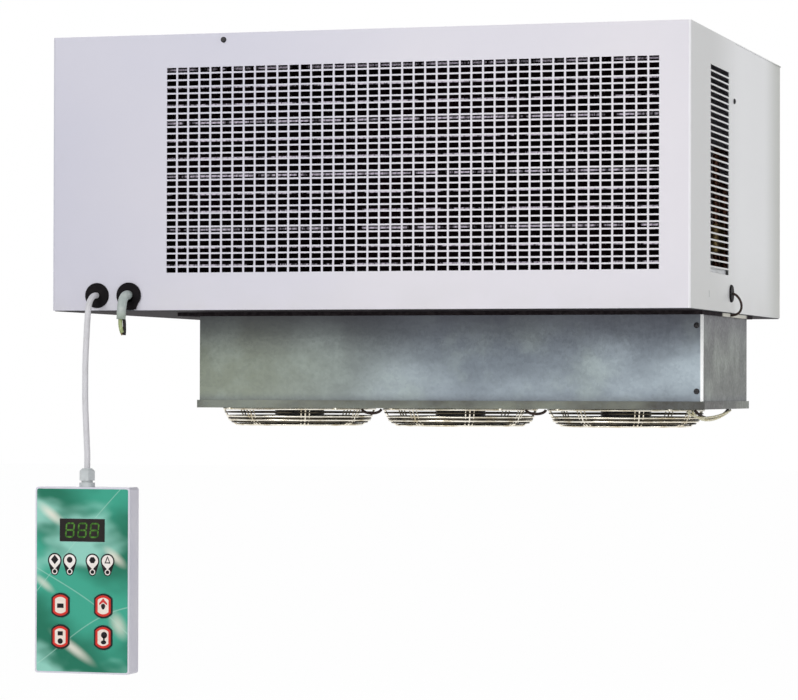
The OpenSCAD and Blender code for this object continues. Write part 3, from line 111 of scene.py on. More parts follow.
class Finish:
    """A material with one Principled shader, its nodes made by the method node."""

    def __init__(self, name, **flat):
        self.material = bpy.data.materials.new(name)
        self.material.use_nodes = True
        self.tree = self.material.node_tree
        self.shader = self.tree.nodes["Principled BSDF"]
        for socket, value in flat.items():
            self.shader.inputs[socket.replace("_", " ")].default_value = value

    def node(self, kind, settings, sockets, out=0):
        made = self.tree.nodes.new(kind)
        for key, value in settings.items():
            setattr(made, key, value)
        for key, value in sockets.items():
            self.feed(made.inputs[key], value)
        return Val(self, made.outputs[out])

    def feed(self, socket, value):
        if isinstance(value, Val):
            self.tree.links.new(value.socket, socket)
        elif isinstance(value, tuple) and len(value) == 3 and len(socket.default_value) == 4:
            socket.default_value = (*value, 1)
        else:
            socket.default_value = value

    def set(self, **links):
        for socket, value in links.items():
            self.feed(self.shader.inputs[socket.replace("_", " ")], value)

    def place(self):
        return self.node("ShaderNodeTexCoord", {}, {}, "Object")

    def axes(self, vector=None):
        made = self.node("ShaderNodeSeparateXYZ", {}, {0: vector or self.place()})
        return [Val(self, socket) for socket in made.socket.node.outputs]

    def stretched(self, scale, turn=(0, 0, 0)):
        return self.node("ShaderNodeMapping", {}, {
            "Vector": self.place(), "Scale": scale, "Rotation": turn})

    def noise(self, scale, detail=3.0, rough=0.5, vector=None):
        return self.node("ShaderNodeTexNoise", {}, {
            "Vector": vector or self.place(), "Scale": scale, "Detail": detail, "Roughness": rough})

    def mix(self, mask, a, b):
        return self.node("ShaderNodeMix", {"data_type": "RGBA"}, {0: mask, 6: a, 7: b}, 2)

    def bump(self, height, strength, distance):
        self.set(Normal=self.node("ShaderNodeBump", {}, {
            "Height": height, "Strength": strength, "Distance": distance}))

    def on(self, *names):
        for name in names:
            obj = nodes[name] if isinstance(name, str) else name
            obj.data.materials.clear()
            obj.data.materials.append(self.material)


def new_piece(name, mesh, finish, body="unit", smooth=False):
    """Makes an object of a bmesh, gives it its finish and lets it ride on its body."""
    data = bpy.data.meshes.new(name)
    mesh.to_mesh(data)
    mesh.free()
    piece = bpy.data.objects.new(name, data)
    bpy.context.scene.collection.objects.link(piece)
    if smooth:
        data.polygons.foreach_set("use_smooth", [True] * len(data.polygons))
    finish.on(piece)
    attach(piece, body)
    return piece


sheath = Finish("cable sheath", Roughness=0.42)
sheath_dirt = sheath.noise(60, 4).smooth(0.45, 0.75)
sheath.set(Base_Color=sheath.mix(sheath_dirt * 0.35, (0.64, 0.63, 0.65), (0.45, 0.44, 0.43)))
sheath.bump(sheath.noise(700, 2), 0.15, 0.0004)

cable_d = 0.0085
cable_route = [
    (-0.392, -0.348, 0.022), (-0.392, -0.352, 0.022), (-0.392, -0.359, 0.021), (-0.392, -0.366, 0.018),
    (-0.392, -0.372, 0.014), (-0.392, -0.376, 0.008), (-0.392, -0.379, 0.001), (-0.392, -0.380, -0.006),
    (-0.393, -0.380, -0.020), (-0.394, -0.380, -0.040), (-0.395, -0.380, -0.060), (-0.3955, -0.380, -0.080),
    (-0.3955, -0.380, -0.100), (-0.3955, -0.380, -0.120), (-0.395, -0.380, -0.140),
    (-0.394, -0.380, -0.160), (-0.393, -0.380, -0.180), (-0.392, -0.380, -0.200),
    (-0.392, -0.380, -0.212), (-0.392, -0.380, -0.221),
]
cable_data = bpy.data.curves.new("control_cable_run", "CURVE")
cable_data.dimensions, cable_data.bevel_depth, cable_data.bevel_resolution = "3D", cable_d / 2, 6
cable_data.resolution_u, cable_data.use_fill_caps = 6, True
cable_line = cable_data.splines.new("POLY")
cable_line.points.add(len(cable_route) - 1)
for point, place in zip(cable_line.points, cable_route):
    point.co = (*place, 1)
cable_line.use_smooth = True
cable = bpy.data.objects.new("control_cable_run", cable_data)
bpy.context.scene.collection.objects.link(cable)
sheath.on(cable)
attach(cable, "unit")
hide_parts("control_cable")

# ---------------------------------------------------------------- painted covers
# Three covers of 1.2 mm sheet, bent and then powder coated a light grey with
# a touch of lilac. The coat has a fine orange peel and scuffs; light and shade
# over front and side and a highlight along the front right bend are painted in.
cover_front_y, cover_right_x, side_from_x, sheet_t = -0.345, 0.460, 0.4578, 0.0012
paint = Finish("lilac grey paint", Coat_Weight=0.25, Coat_Roughness=0.25)
paint_x, paint_y, paint_z = paint.axes()
cloud = paint.noise(2.3, 3).smooth(0.35, 0.7)
scuff = paint.noise(26, 6, 0.65).smooth(0.62, 0.8)
low_dust = (0.06 - paint_z).smooth(0.0, 0.09) * paint.noise(14, 4).smooth(0.3, 0.7)
paint_tone = paint.mix(cloud, (0.600, 0.585, 0.655), (0.660, 0.635, 0.680))

# Painted light and shade: the front is painted darker towards its left and top and a little
# brighter towards its right end and its lower edge.
painted_light_across_front = ((paint_x + cover_right_x) * 0.9 + (0.4 - paint_z) * 0.6).smooth(-0.1, 0.95)
paint_tone = paint.mix(painted_light_across_front, paint.mix(0.38, paint_tone, (0.40, 0.41, 0.52)),
                       paint.mix(0.42, paint_tone, (0.92, 0.88, 0.90)))

# Painted light and shade: the right side is painted whiter in the middle and greyer at its ends and below.
on_side = (paint_x - side_from_x).smooth(0.0, 0.0006)
side_painted_light = paint.mix((paint_y + 0.22).smooth(0.0, 0.26), (0.60, 0.60, 0.59), (0.84, 0.84, 0.84))
side_painted_light = paint.mix((paint_y - 0.20).smooth(0.0, 0.14), side_painted_light, (0.47, 0.48, 0.44))
side_painted_light = paint.mix((0.12 - paint_z).smooth(0.0, 0.16) * 0.35, side_painted_light, (0.50, 0.51, 0.47))
paint_tone = paint.mix(on_side, paint_tone, side_painted_light)

# A painted highlight lies along the bend between front and side, over a radius of 3.4 mm.
bend_r = 0.0034
edge_x, edge_y = paint_x - cover_right_x, paint_y - cover_front_y
painted_bend_highlight = ((edge_x * edge_x + edge_y * edge_y) ** 0.5 * -1.0 + bend_r).smooth(0.0, 0.0008)
paint_tone = paint.mix(painted_bend_highlight * 0.8, paint_tone, (0.93, 0.91, 0.93))
paint_tone = paint.mix(low_dust * 0.35, paint_tone, (0.60, 0.585, 0.55))
paint_tone = paint.mix(scuff * 0.12, paint_tone, (0.48, 0.47, 0.47))
paint.set(Base_Color=paint_tone, Roughness=0.40 + scuff * 0.15)
paint.bump(paint.noise(420, 2), 0.10, 0.0006)
paint.on("front_cover", "rear_cover", "top_cover")

# Upright webs of the punched grille that the solid leaves out: 2.65 mm of
# sheet between two slots of a row, in every second place of the 43 columns.
grille_x, grille_z, grille_columns, grille_rows = -0.288, 0.05345, 43, 31
pitch_x, pitch_z, slot_w, slot_h = 0.01645, 0.00935, 0.0138, 0.00705
web_w = pitch_x - slot_w
webs = bmesh.new()
for column in range(0, grille_columns - 1, 2):
    for row in range(grille_rows):
        made = bmesh.ops.create_cube(webs, size=1)["verts"]
        bmesh.ops.scale(webs, vec=(web_w, sheet_t, slot_h), verts=made)
        bmesh.ops.translate(webs, verts=made, vec=(
            grille_x + column * pitch_x + slot_w + web_w / 2, cover_front_y + sheet_t / 2,
            grille_z + row * pitch_z + slot_h / 2))
new_piece("grille_webs", webs, paint)

# ---------------------------------------------------------------- galvanised sheet
# Zinc coated steel: big soft clouds of blue, grey and green from handling and
# condensate, with a faint spangle of zinc crystals and brushed streaks.
def spangle(zinc, scale):
    """Value that differs from one zinc crystal to the next."""
    crystal = zinc.node("ShaderNodeTexVoronoi", {"feature": "F1"}, {
        "Vector": zinc.place(), "Scale": scale}, "Color")
    return zinc.node("ShaderNodeSeparateColor", {}, {0: crystal})


def galvanised(name, light, dark, green, metal=0.75):
    """Finish of zinc coated sheet, in its two main tones and a greenish one."""
    zinc = Finish(name, Metallic=metal)
    big = zinc.noise(4.5, 4, 0.55, zinc.stretched((1, 1, 2.2))).smooth(0.36, 0.66)
    patch = zinc.noise(9, 5, 0.6, zinc.stretched((1, 1, 1.6), (0, 0.3, 0))).smooth(0.42, 0.7)
    streak = zinc.noise(22, 5, 0.6, zinc.stretched((1, 1, 0.12))).smooth(0.4, 0.8)
    grain = spangle(zinc, 210.0)
    tone = zinc.mix(big, dark, light)
    tone = zinc.mix(patch * 0.45, tone, green)
    tone = zinc.mix(grain * 0.16, tone, (0.22, 0.24, 0.25))
    tone = zinc.mix(streak * 0.18, tone, (0.18, 0.18, 0.17))
    zinc.set(Base_Color=tone, Roughness=0.37 + grain * 0.18 + streak * 0.1)
    zinc.bump(zinc.noise(90, 4) * 0.6 + grain * 0.15, 0.12, 0.0008)
    return zinc


# The sleeve is greener to the left and on its right side. Painted shade darkens its top, under
# the housing, and its right side; it is a little darker near the bottom, and a painted highlight
# lies along its front right edge.
sleeve_right_x, sleeve_front_y, corner_highlight_r = 0.452, -0.220, 0.0042
sleeve = Finish("galvanised sleeve", Metallic=0.55)
sleeve_x, sleeve_y, sleeve_z = sleeve.axes()
sleeve_big = sleeve.noise(5.0, 4, 0.5, sleeve.stretched((1, 1, 1.8))).smooth(0.35, 0.68)
sleeve_patch = sleeve.noise(11, 5, 0.6).smooth(0.45, 0.7)
sleeve_grain = spangle(sleeve, 260.0)
left_part = (sleeve_x * -1.0 + 0.02).smooth(-0.1, 0.26)
side_part = (sleeve_x - 0.4505).smooth(0.0, 0.001)
shade_under_housing = (sleeve_z + 0.075).smooth(0.0, 0.085)
lower_part = (sleeve_z * -1.0 - 0.112).smooth(0.0, 0.014)
# Painted highlight along the front right corner of the sleeve.
corner_x, corner_y = sleeve_x - sleeve_right_x, sleeve_y - sleeve_front_y
painted_corner_highlight = ((corner_x * corner_x + corner_y * corner_y) ** 0.5 * -1.0 + corner_highlight_r).smooth(0.0, 0.0008)
sleeve_tone = sleeve.mix(sleeve_big, (0.165, 0.195, 0.225), (0.36, 0.42, 0.46))
sleeve_tone = sleeve.mix(left_part * 0.85, sleeve_tone, (0.215, 0.24, 0.175))
# Painted shade: the right side face is painted darker than the front.
sleeve_side_shade = sleeve.mix(sleeve_patch, (0.115, 0.125, 0.115), (0.17, 0.175, 0.15))
sleeve_tone = sleeve.mix(side_part, sleeve_tone, sleeve_side_shade)
sleeve_tone = sleeve.mix(sleeve_patch * 0.35, sleeve_tone, (0.40, 0.47, 0.43))
# Painted shade on the top of the sleeve, under the housing.
sleeve_tone = sleeve.mix(shade_under_housing * 0.75, sleeve_tone, (0.055, 0.050, 0.072))
sleeve_tone = sleeve.mix(lower_part * 0.45, sleeve_tone, (0.10, 0.11, 0.13))
sleeve_tone = sleeve.mix(sleeve_grain * 0.10, sleeve_tone, (0.12, 0.13, 0.15))
sleeve_tone = sleeve.mix(painted_corner_highlight, sleeve_tone, (0.80, 0.81, 0.80))
sleeve.set(Base_Color=sleeve_tone, Roughness=0.40 + sleeve_grain * 0.14)
sleeve.bump(sleeve.noise(80, 4) * 0.6 + sleeve_grain * 0.15, 0.1, 0.0008)
sleeve.on("ceiling_sleeve")

strip_zinc = galvanised("bottom strip", (0.20, 0.215, 0.17), (0.045, 0.042, 0.036),
                        (0.17, 0.20, 0.18), 0.5)
strip_zinc.on("sleeve_flange")
plain_zinc = galvanised("plain galvanised sheet", (0.52, 0.55, 0.57), (0.34, 0.37, 0.39),
                        (0.46, 0.50, 0.47))
plain_zinc.on("fan_plate", "condenser_end_plates", "fan_shroud", "evaporator_end_plates",
              "electrical_box", "electrical_box_lid")

# The base tray is the same sheet, painted a dark grey as painted shade and nearly black
# below as the painted shade under the housing.
tray_in_shade = Finish("base tray", Roughness=0.7, Specular_IOR_Level=0.1)
tray_z = tray_in_shade.axes()[2]
tray_shaded_zinc = tray_in_shade.mix(tray_in_shade.noise(6, 4).smooth(0.35, 0.7), (0.22, 0.23, 0.24), (0.12, 0.13, 0.14))
# Painted shade: nearly black on the underside.
painted_shade_under_tray = tray_in_shade.mix(tray_in_shade.noise(40, 4).smooth(0.4, 0.7),
                          (0.012, 0.008, 0.010), (0.030, 0.022, 0.026))
tray_below = (tray_z * -1.0 + 0.0006).smooth(0.0, 0.0004)
tray_in_shade.set(Base_Color=tray_in_shade.mix(tray_below, tray_shaded_zinc, painted_shade_under_tray))
tray_in_shade.on("base_tray")

# ---------------------------------------------------------------- screws
# Cross recessed pan head screws of plated steel. On the sleeve and on the
# side they look nearly black against the pale sheet.
def mottled(name, one, other, scale, detail=3, edges=(0.4, 0.7), **flat):
    """Finish whose colour drifts softly between two tones."""
    finish = Finish(name, **flat)
    finish.set(Base_Color=finish.mix(finish.noise(scale, detail).smooth(*edges), one, other))
    return finish


mottled("dark plated screws", (0.02, 0.02, 0.022), (0.07, 0.065, 0.065), 500,
        Metallic=0.3, Roughness=0.5, Specular_IOR_Level=0.2).on("panel_screws")

# ---------------------------------------------------------------- coils
# Copper tubes in blocks of aluminium fins. The condenser block behind the grille is painted
# nearly black as painted shade, with painted shade from fin to fin and thin painted highlights
# on the collars round each row of tubes.
row_pitch, row_z, fin_pitch = 0.025, 0.0640, 0.0021


def painted_fin_gap_shade(x):
    """Mask of the painted shade in the gaps from fin to fin along x."""
    return ((x % fin_pitch) / fin_pitch - 0.5).absolute().smooth(0.15, 0.45)


fins = Finish("fins in painted shade", Roughness=0.8, Specular_IOR_Level=0.02)
fin_x, fin_y, fin_z = fins.axes()
row_place = ((fin_z - row_z) % row_pitch) / row_pitch
row_mask = ((row_place - 0.5).absolute() * 2.0).smooth(0.86, 0.94)
dust = fins.noise(7, 4).smooth(0.35, 0.7)
# Painted highlights on the tube collars of each row.
painted_tube_highlight = row_mask * fins.noise(34, 4, 0.7, fins.stretched((1, 1, 0.2))).smooth(0.40, 0.54)
# Fins painted nearly black for the shade behind the grille, darker still in the gaps.
fin_tone = fins.mix(painted_fin_gap_shade(fin_x) * 0.6, (0.0030, 0.0012, 0.0015), (0.0008, 0.0004, 0.0005))
fin_tone = fins.mix(dust * 0.4, fin_tone, (0.010, 0.0030, 0.0055))
fin_tone = fins.mix(painted_tube_highlight, fin_tone, (0.95, 0.86, 0.98))
fins.set(Base_Color=fin_tone)
fins.on("condenser_fins")

bright_fins = Finish("clean fins", Metallic=0.8, Roughness=0.35)
# Painted shade in the gaps from fin to fin.
bright_fins.set(Base_Color=bright_fins.mix(
    painted_fin_gap_shade(bright_fins.axes()[0]) * 0.7, (0.62, 0.66, 0.70), (0.25, 0.27, 0.29)))
bright_fins.on("evaporator_fins")

copper = Finish("copper tube", Metallic=0.9)
copper_worn = copper.noise(30, 5).smooth(0.4, 0.72)
copper.set(Base_Color=copper.mix(copper_worn, (0.30, 0.125, 0.080), (0.070, 0.032, 0.026)),
           Roughness=0.3 + copper_worn * 0.25)
copper.on("condenser_tubes", "evaporator_tubes", "discharge_pipe", "suction_pipe",
          "condensate_pipe", "liquid_pipe")

mottled("turned brass", (0.42, 0.30, 0.13), (0.22, 0.15, 0.07), 60, 4, (0.35, 0.7),
        Metallic=0.9, Roughness=0.35).on("expansion_valve", "filter_drier")

# ---------------------------------------------------------------- compressor, motors and fans
# Pressed steel shells in black enamel, moulded black rotors and rubber feet.
enamel = Finish("black enamel", Specular_IOR_Level=0.25)
enamel_dust = enamel.noise(16, 5).smooth(0.45, 0.75)
enamel.set(Base_Color=enamel.mix(enamel_dust * 0.5, (0.018, 0.018, 0.02), (0.09, 0.085, 0.08)),
           Roughness=0.3 + enamel_dust * 0.3)
enamel.bump(enamel.noise(300, 2), 0.1, 0.0006)
enamel.on("condenser_motor_left", "condenser_motor_right", "evaporator_motors",
          "compressor_shell", "liquid_receiver")

moulded = Finish("moulded black plastic", Roughness=0.45, Specular_IOR_Level=0.25)
moulded_dust = moulded.noise(20, 4).smooth(0.5, 0.8)
moulded.set(Base_Color=moulded.mix(moulded_dust * 0.4, (0.016, 0.018, 0.017), (0.07, 0.075, 0.07)))
moulded.bump(moulded.noise(900, 2), 0.12, 0.0003)
moulded.on("condenser_fan_left", "condenser_fan_right", "evaporator_fan_left", "evaporator_fan_middle",
           "evaporator_fan_right", "compressor_terminal_cover", "pressure_switch")

rubber = Finish("black rubber", Specular_IOR_Level=0.06)
rubber_bloom = rubber.noise(120, 4).smooth(0.45, 0.75)
rubber.set(Base_Color=rubber.mix(rubber_bloom * 0.5, (0.006, 0.005, 0.006), (0.020, 0.017, 0.018)),
           Roughness=0.5 + rubber_bloom * 0.2)
rubber.on("compressor_mounts", "control_cable_grommet", "supply_cable_grommet", "side_lead_grommet")

# ---------------------------------------------------------------- gasket, lid and tray
# Black closed cell foam under the housing with a pale end where it is cut for
# the side lead, an insulated lid over the coil and a white tray under it.
foam = Finish("closed cell foam", Roughness=0.9, Specular_IOR_Level=0.05)
foam_x, foam_y, foam_z = foam.axes()
foam_pale = (foam_x - 0.4525).smooth(0.0, 0.0006) * (0.10 - (foam_y + 0.01).absolute()).smooth(0.0, 0.02)
foam_tone = foam.mix(foam.noise(150, 4).smooth(0.35, 0.7), (0.016, 0.012, 0.014), (0.034, 0.028, 0.030))
foam.set(Base_Color=foam.mix(foam_pale, foam_tone, (0.70, 0.68, 0.60)))
foam.bump(foam.noise(900, 3), 0.4, 0.0006)
foam.on("ceiling_gasket")

white = mottled("white moulding", (0.74, 0.75, 0.76), (0.62, 0.63, 0.63), 12, 4, Roughness=0.5)
white.bump(white.noise(600, 2), 0.1, 0.0004)
white.on("evaporator_lid", "drip_tray")

mottled("heater sheath", (0.42, 0.40, 0.38), (0.22, 0.20, 0.19), 40, 4,
        Metallic=0.9, Roughness=0.35).on("defrost_heater")

# ---------------------------------------------------------------- supply cable and leads
# Grey sheathed cable, bent down over the keyhole in its grommet, that ends in
# a green and yellow, a brown and a black core. Thin dark leads run at the
# side, from fan to fan and, with two cream ones, to the rear right corner.
def tube(mesh, route, radius, sides=10):
    """Adds a round tube along a route of points, closed at both ends."""
    ring = None
    last = len(route) - 1
    for k, place in enumerate(route):
        along = Vector(route[min(k + 1, last)]) - Vector(route[max(k - 1, 0)])
        turn = along.to_track_quat("Z", "X").to_matrix().to_4x4()
        made = bmesh.ops.create_circle(mesh, cap_ends=k in (0, last), segments=sides, radius=radius,
                                       matrix=Matrix.Translation(place) @ turn)["verts"]
        edges = [e for e in mesh.edges if e.verts[0] in made and e.verts[1] in made]
        if ring:
            bmesh.ops.bridge_loops(mesh, edges=ring + edges)
        ring = edges
    bmesh.ops.recalc_face_normals(mesh, faces=mesh.faces)


def bow(a, b, c, d):
    """Points of a smooth curve from a to d, drawn by b and c."""
    a, b, c, d = (Vector(v) for v in (a, b, c, d))
    steps = 12
    return [(1 - t) ** 3 * a + 3 * (1 - t) ** 2 * t * b + 3 * (1 - t) * t * t * c + t ** 3 * d
            for t in [k / steps for k in range(steps + 1)]]


supply = Finish("supply cable sheath", Roughness=0.45)
supply_z = supply.axes()[2]
supply_tone = supply.mix(supply.noise(80, 3).smooth(0.4, 0.7), (0.36, 0.41, 0.39), (0.46, 0.50, 0.47))
supply.set(Base_Color=supply.mix(
    (supply_z * -1.0 + 0.004).smooth(0.0, 0.014) * 0.6, supply_tone, (0.30, 0.36, 0.27)))
supply.on("supply_cable")
sheath_tail = bmesh.new()
tube(sheath_tail, bow((-0.344, -0.348, 0.0225), (-0.344, -0.368, 0.0225), (-0.3455, -0.3695, 0.012),
                      (-0.3462, -0.3695, -0.012)), 0.0065, 20)
tail = new_piece("supply_cable_tail", sheath_tail, supply, smooth=True)
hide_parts("supply_cable")

# Each core: its two tones, its radius and the four points that draw its bow.
cores = {
    "earth_core": ((0.30, 0.35, 0.16), (0.42, 0.47, 0.26), 0.0030, (
        (-0.3470, -0.3700, -0.011), (-0.3475, -0.3705, -0.019),
        (-0.3465, -0.3700, -0.026), (-0.3445, -0.3690, -0.031))),
    "brown_core": ((0.20, 0.12, 0.055), (0.34, 0.24, 0.13), 0.0016, (
        (-0.3490, -0.3680, -0.011), (-0.3500, -0.3680, -0.020),
        (-0.3485, -0.3675, -0.029), (-0.3450, -0.3670, -0.0341))),
    "black_core": ((0.006, 0.004, 0.006), (0.020, 0.014, 0.016), 0.0024, (
        (-0.3425, -0.3680, -0.011), (-0.3415, -0.3675, -0.020),
        (-0.3415, -0.3675, -0.028), (-0.3425, -0.3670, -0.0341))),
}
for core, (deep, pale, core_r, drawn_by) in cores.items():
    core_look = mottled(core.replace("_", " "), deep, pale, 150, 2, (0.35, 0.65),
                        Roughness=0.45, Specular_IOR_Level=0.2)
    strand = bmesh.new()
    tube(strand, bow(*drawn_by), core_r)
    new_piece(core, strand, core_look, smooth=True)

mottled("dark lead", (0.035, 0.020, 0.016), (0.07, 0.045, 0.035), 90,
        Roughness=0.45, Specular_IOR_Level=0.2).on("side_lead", "fan_leads")
cream = mottled("cream lead", (0.62, 0.56, 0.34), (0.78, 0.74, 0.55), 90, Roughness=0.45)
cream_runs = bmesh.new()
tube(cream_runs, bow((0.4250, -0.160, -0.1395), (0.4300, -0.130, -0.158),
                     (0.4400, -0.060, -0.154), (0.4420, 0.030, -0.1382)), 0.0017)
tube(cream_runs, bow((0.4200, -0.170, -0.1395), (0.4260, -0.150, -0.152),
                     (0.4440, -0.080, -0.150), (0.4475, 0.000, -0.1382)), 0.0015)
new_piece("cream_leads", cream_runs, cream, smooth=True)

# ---------------------------------------------------------------- fan guards
# Baskets of plated steel wire, ring upon ring, welded to radial wires. Each
# hangs on four eyelets and holds the motor of its fan.
wire = Finish("plated wire", Metallic=1.0)
wire_tint = wire.noise(45, 4).smooth(0.4, 0.75)
wire.set(Base_Color=wire.mix(wire_tint, (0.95, 0.90, 0.78), (0.58, 0.50, 0.34)),
         Roughness=0.22 + wire_tint * 0.2)
wire.on("fan_guard_left", "fan_guard_middle", "fan_guard_right")

# The finer rings, painted nearly black as painted shade, and the pairs of thin wires between the eight main
# spokes.
# Each place is a share of the guard's radius and a share of its depth.
shaded_wire = Finish("wire in painted shade", Metallic=0.4, Specular_IOR_Level=0.15)
shaded_wire_tint = shaded_wire.noise(60, 4).smooth(0.4, 0.7)
shaded_wire.set(Base_Color=shaded_wire.mix(shaded_wire_tint, (0.085, 0.070, 0.045), (0.010, 0.008, 0.007)),
              Roughness=0.3 + shaded_wire_tint * 0.2)
guard_r, guard_drop, guard_y, guard_top = 0.1105, 0.0227, -0.099, -0.1378
ring_wire_r, spoke_wire_r, spoke_step, spoke_aside = 0.0011, 0.0010, 45, 3.2
ring_places = [(0.985, 0.22), (0.940, 0.60), (0.895, 0.84), (0.755, 1), (0.605, 1), (0.455, 1), (0.30, 1)]
spoke_places = [(0.995, 0.02), (0.950, 0.47), (0.925, 0.70), (0.825, 1), (0.24, 1)]
for side, guard_x in (("left", -0.1715), ("middle", 0.0725), ("right", 0.3165)):
    centre = Vector((guard_x, guard_y, guard_top))
    basket, spokes = bmesh.new(), bmesh.new()
    for share, depth in ring_places:
        start = centre + Vector((guard_r * share, 0, -guard_drop * depth))
        section = bmesh.ops.create_circle(
            basket, segments=6, radius=ring_wire_r,
            matrix=Matrix.Translation(start) @ Matrix.Rotation(math.pi / 2, 4, "X"))["verts"]
        around = [e for e in basket.edges if e.verts[0] in section and e.verts[1] in section]
        bmesh.ops.spin(basket, geom=section + around, cent=centre, axis=(0, 0, 1), angle=math.tau,
                       steps=60, use_merge=True)
    bmesh.ops.recalc_face_normals(basket, faces=basket.faces)
    for k in range(8):
        for aside in (-spoke_aside, spoke_aside):
            a = math.radians(spoke_step / 2 + spoke_step * k + aside)
            run = [centre + Vector((guard_r * share * math.cos(a), guard_r * share * math.sin(a),
                                    -guard_drop * depth)) for share, depth in spoke_places]
            tube(spokes, run, spoke_wire_r, 6)
    new_piece("guard_rings_" + side, basket, shaded_wire, smooth=True)
    new_piece("guard_spokes_" + side, spokes, wire, smooth=True)

# ---------------------------------------------------------------- controller
# Case of two off white mouldings with a green printed film on the front, a
# dark window over three digits, four lamps and four keys.
controller_x, film_mid_z, film_w, film_h = -0.392, -0.377, 0.136, 0.255
case = mottled("off white moulding", (0.66, 0.64, 0.72), (0.72, 0.70, 0.76), 9, 3, (0.35, 0.7),
               Roughness=0.45)
case.bump(case.noise(1400, 2), 0.1, 0.0003)
case.on("controller_front", "controller_back")

mottled("grey nylon", (0.52, 0.55, 0.55), (0.64, 0.67, 0.66), 50, Roughness=0.4).on("cable_gland")

# The film's print: soft waves of green and three thin curves, with pale glints as painted highlights.
film = Finish("green printed film", Roughness=0.3, Specular_IOR_Level=0.25, Coat_Weight=0.12,
              Coat_Roughness=0.12)
film_x, film_y, film_z = film.axes()
film_u, film_v = (film_x - controller_x) / film_w, (film_z - film_mid_z) / film_h
swell = film.noise(7, 3, 0.5, film.stretched((1, 1, 1.7), (0, 0.5, 0)))
wave = ((film_u * 2.4 + 0.6).sin() * 1.5 + film_v * 8.0 + swell * 4.0).sin()
film_tone = film.mix(wave.smooth(-0.8, 0.9), (0.006, 0.165, 0.095), (0.045, 0.380, 0.260))
film_tone = film.mix((swell - 0.47).smooth(0.0, 0.15) * 0.8, film_tone, (0.36, 0.74, 0.62))
# Painted highlights: five soft pale glints on the film.
for glint_u, glint_v, wide, tall, glow in (
        (-0.34, 0.36, 0.20, 0.05, 0.80), (0.36, 0.13, 0.16, 0.05, 0.75), (-0.10, -0.37, 0.30, 0.05, 0.80),
        (0.40, -0.24, 0.14, 0.09, 0.60), (-0.42, -0.02, 0.15, 0.04, 0.60)):
    far_u, far_v = (film_u - glint_u) / wide, (film_v - glint_v + (film_u - glint_u) * 0.35) / tall
    painted_glint = (1.0 - (far_u * far_u + far_v * far_v) ** 0.5).smooth(0.0, 1.0)
    film_tone = film.mix(painted_glint * glow, film_tone, (0.88, 0.84, 0.72))
for start_v, rise, curl in ((0.22, 0.55, 1.9), (-0.12, -0.42, 2.6), (-0.30, 0.25, 3.3)):
    line = (film_v - start_v - film_u * rise - (film_u * curl + 0.8).sin() * 0.05).absolute()
    film_tone = film.mix((1.0 - line * 160.0).smooth(0.0, 1.0) * 0.45, film_tone, (0.45, 0.72, 0.60))
film.set(Base_Color=film_tone)
film.on("keypad_overlay")

mottled("dark window", (0.010, 0.007, 0.006), (0.022, 0.014, 0.012), 30, Roughness=0.2,
        Specular_IOR_Level=0.15, Coat_Weight=0.2, Coat_Roughness=0.05).on("display_window")
mottled("circuit board", (0.02, 0.02, 0.02), (0.05, 0.045, 0.04), 40, 4, (0.4, 0.6),
        Roughness=0.4).on("circuit_board")

# Keys: cream face in a red ring in a black outline, and a small black mark.
# Seen in one quarter, a key is what a strip and a circle about its middle share.
key_aside, key_mid_z, key_apart, key_half_w, key_r = 0.032, -0.434, 0.022, 0.0135, 0.017
key_look = Finish("cream keys", Roughness=0.35, Specular_IOR_Level=0.3)
key_x, key_y, key_z = key_look.axes()
key_u = (key_x - controller_x).absolute() - key_aside
key_w = (key_z - key_mid_z).absolute() - key_apart
inside = (key_half_w - key_u.absolute()).least(key_r - (key_u * key_u + key_w * key_w) ** 0.5)
key_tone = key_look.mix(key_look.noise(40, 3).smooth(0.4, 0.7), (0.84, 0.72, 0.62), (0.90, 0.80, 0.72))
key_tone = key_look.mix((0.0060 - inside).smooth(0.0, 0.0010), key_tone, (0.66, 0.026, 0.014))
key_tone = key_look.mix((0.0026 - inside).smooth(0.0, 0.0005), key_tone, (0.006, 0.003, 0.004))
key_look.set(Base_Color=key_tone)
key_look.on("key_upper_left", "key_upper_right", "key_lower_left", "key_lower_right")

ink = mottled("black ink", (0.008, 0.006, 0.008), (0.020, 0.014, 0.016), 200, 2,
              Roughness=0.45, Specular_IOR_Level=0.15)
white_ink = mottled("white ink", (0.86, 0.78, 0.72), (0.92, 0.86, 0.82), 80, 2, Roughness=0.35)
red_ink = mottled("red ink", (0.60, 0.020, 0.015), (0.70, 0.035, 0.02), 80, 2, Roughness=0.35)


def flat_mark(mesh, outline, x, z, y, thick):
    """Adds a thin plate with this outline, in millimetres about (x, z), its back on the face at y."""
    ring = [mesh.verts.new((x + u / 1000, y, z + w / 1000)) for u, w in outline]
    face = mesh.faces.new(ring)
    face.normal_update()
    if face.normal.y > 0:
        face.normal_flip()
    front = bmesh.ops.extrude_face_region(mesh, geom=[face])["geom"]
    bmesh.ops.translate(mesh, vec=(0, -thick, 0),
                        verts=[v for v in front if isinstance(v, bmesh.types.BMVert)])


def round_outline(radius, count=28, u=0.0, w=0.0, squash=1.0):
    """Circle of this many corners about (u, w), lower where it is squashed."""
    turns = [math.tau * k / count for k in range(count)]
    return [(u + radius * math.cos(a), w + squash * radius * math.sin(a)) for a in turns]


def box_outline(width, height, u=0.0, w=0.0):
    """Rectangle about (u, w)."""
    return [(u - width / 2, w - height / 2), (u + width / 2, w - height / 2),
            (u + width / 2, w + height / 2), (u - width / 2, w + height / 2)]


def drop_outline(head, tail, drop):
    """Round head that narrows on straight flanks to a small round end below it."""
    lean = math.asin((head - tail) / drop)
    over = [-lean + (math.pi + 2 * lean) * k / 20 for k in range(21)]
    under = [math.pi + lean + (math.pi - 2 * lean) * k / 12 for k in range(13)]
    return ([(head * math.cos(a), head * math.sin(a)) for a in over]
            + [(tail * math.cos(a), tail * math.sin(a) - drop) for a in under])


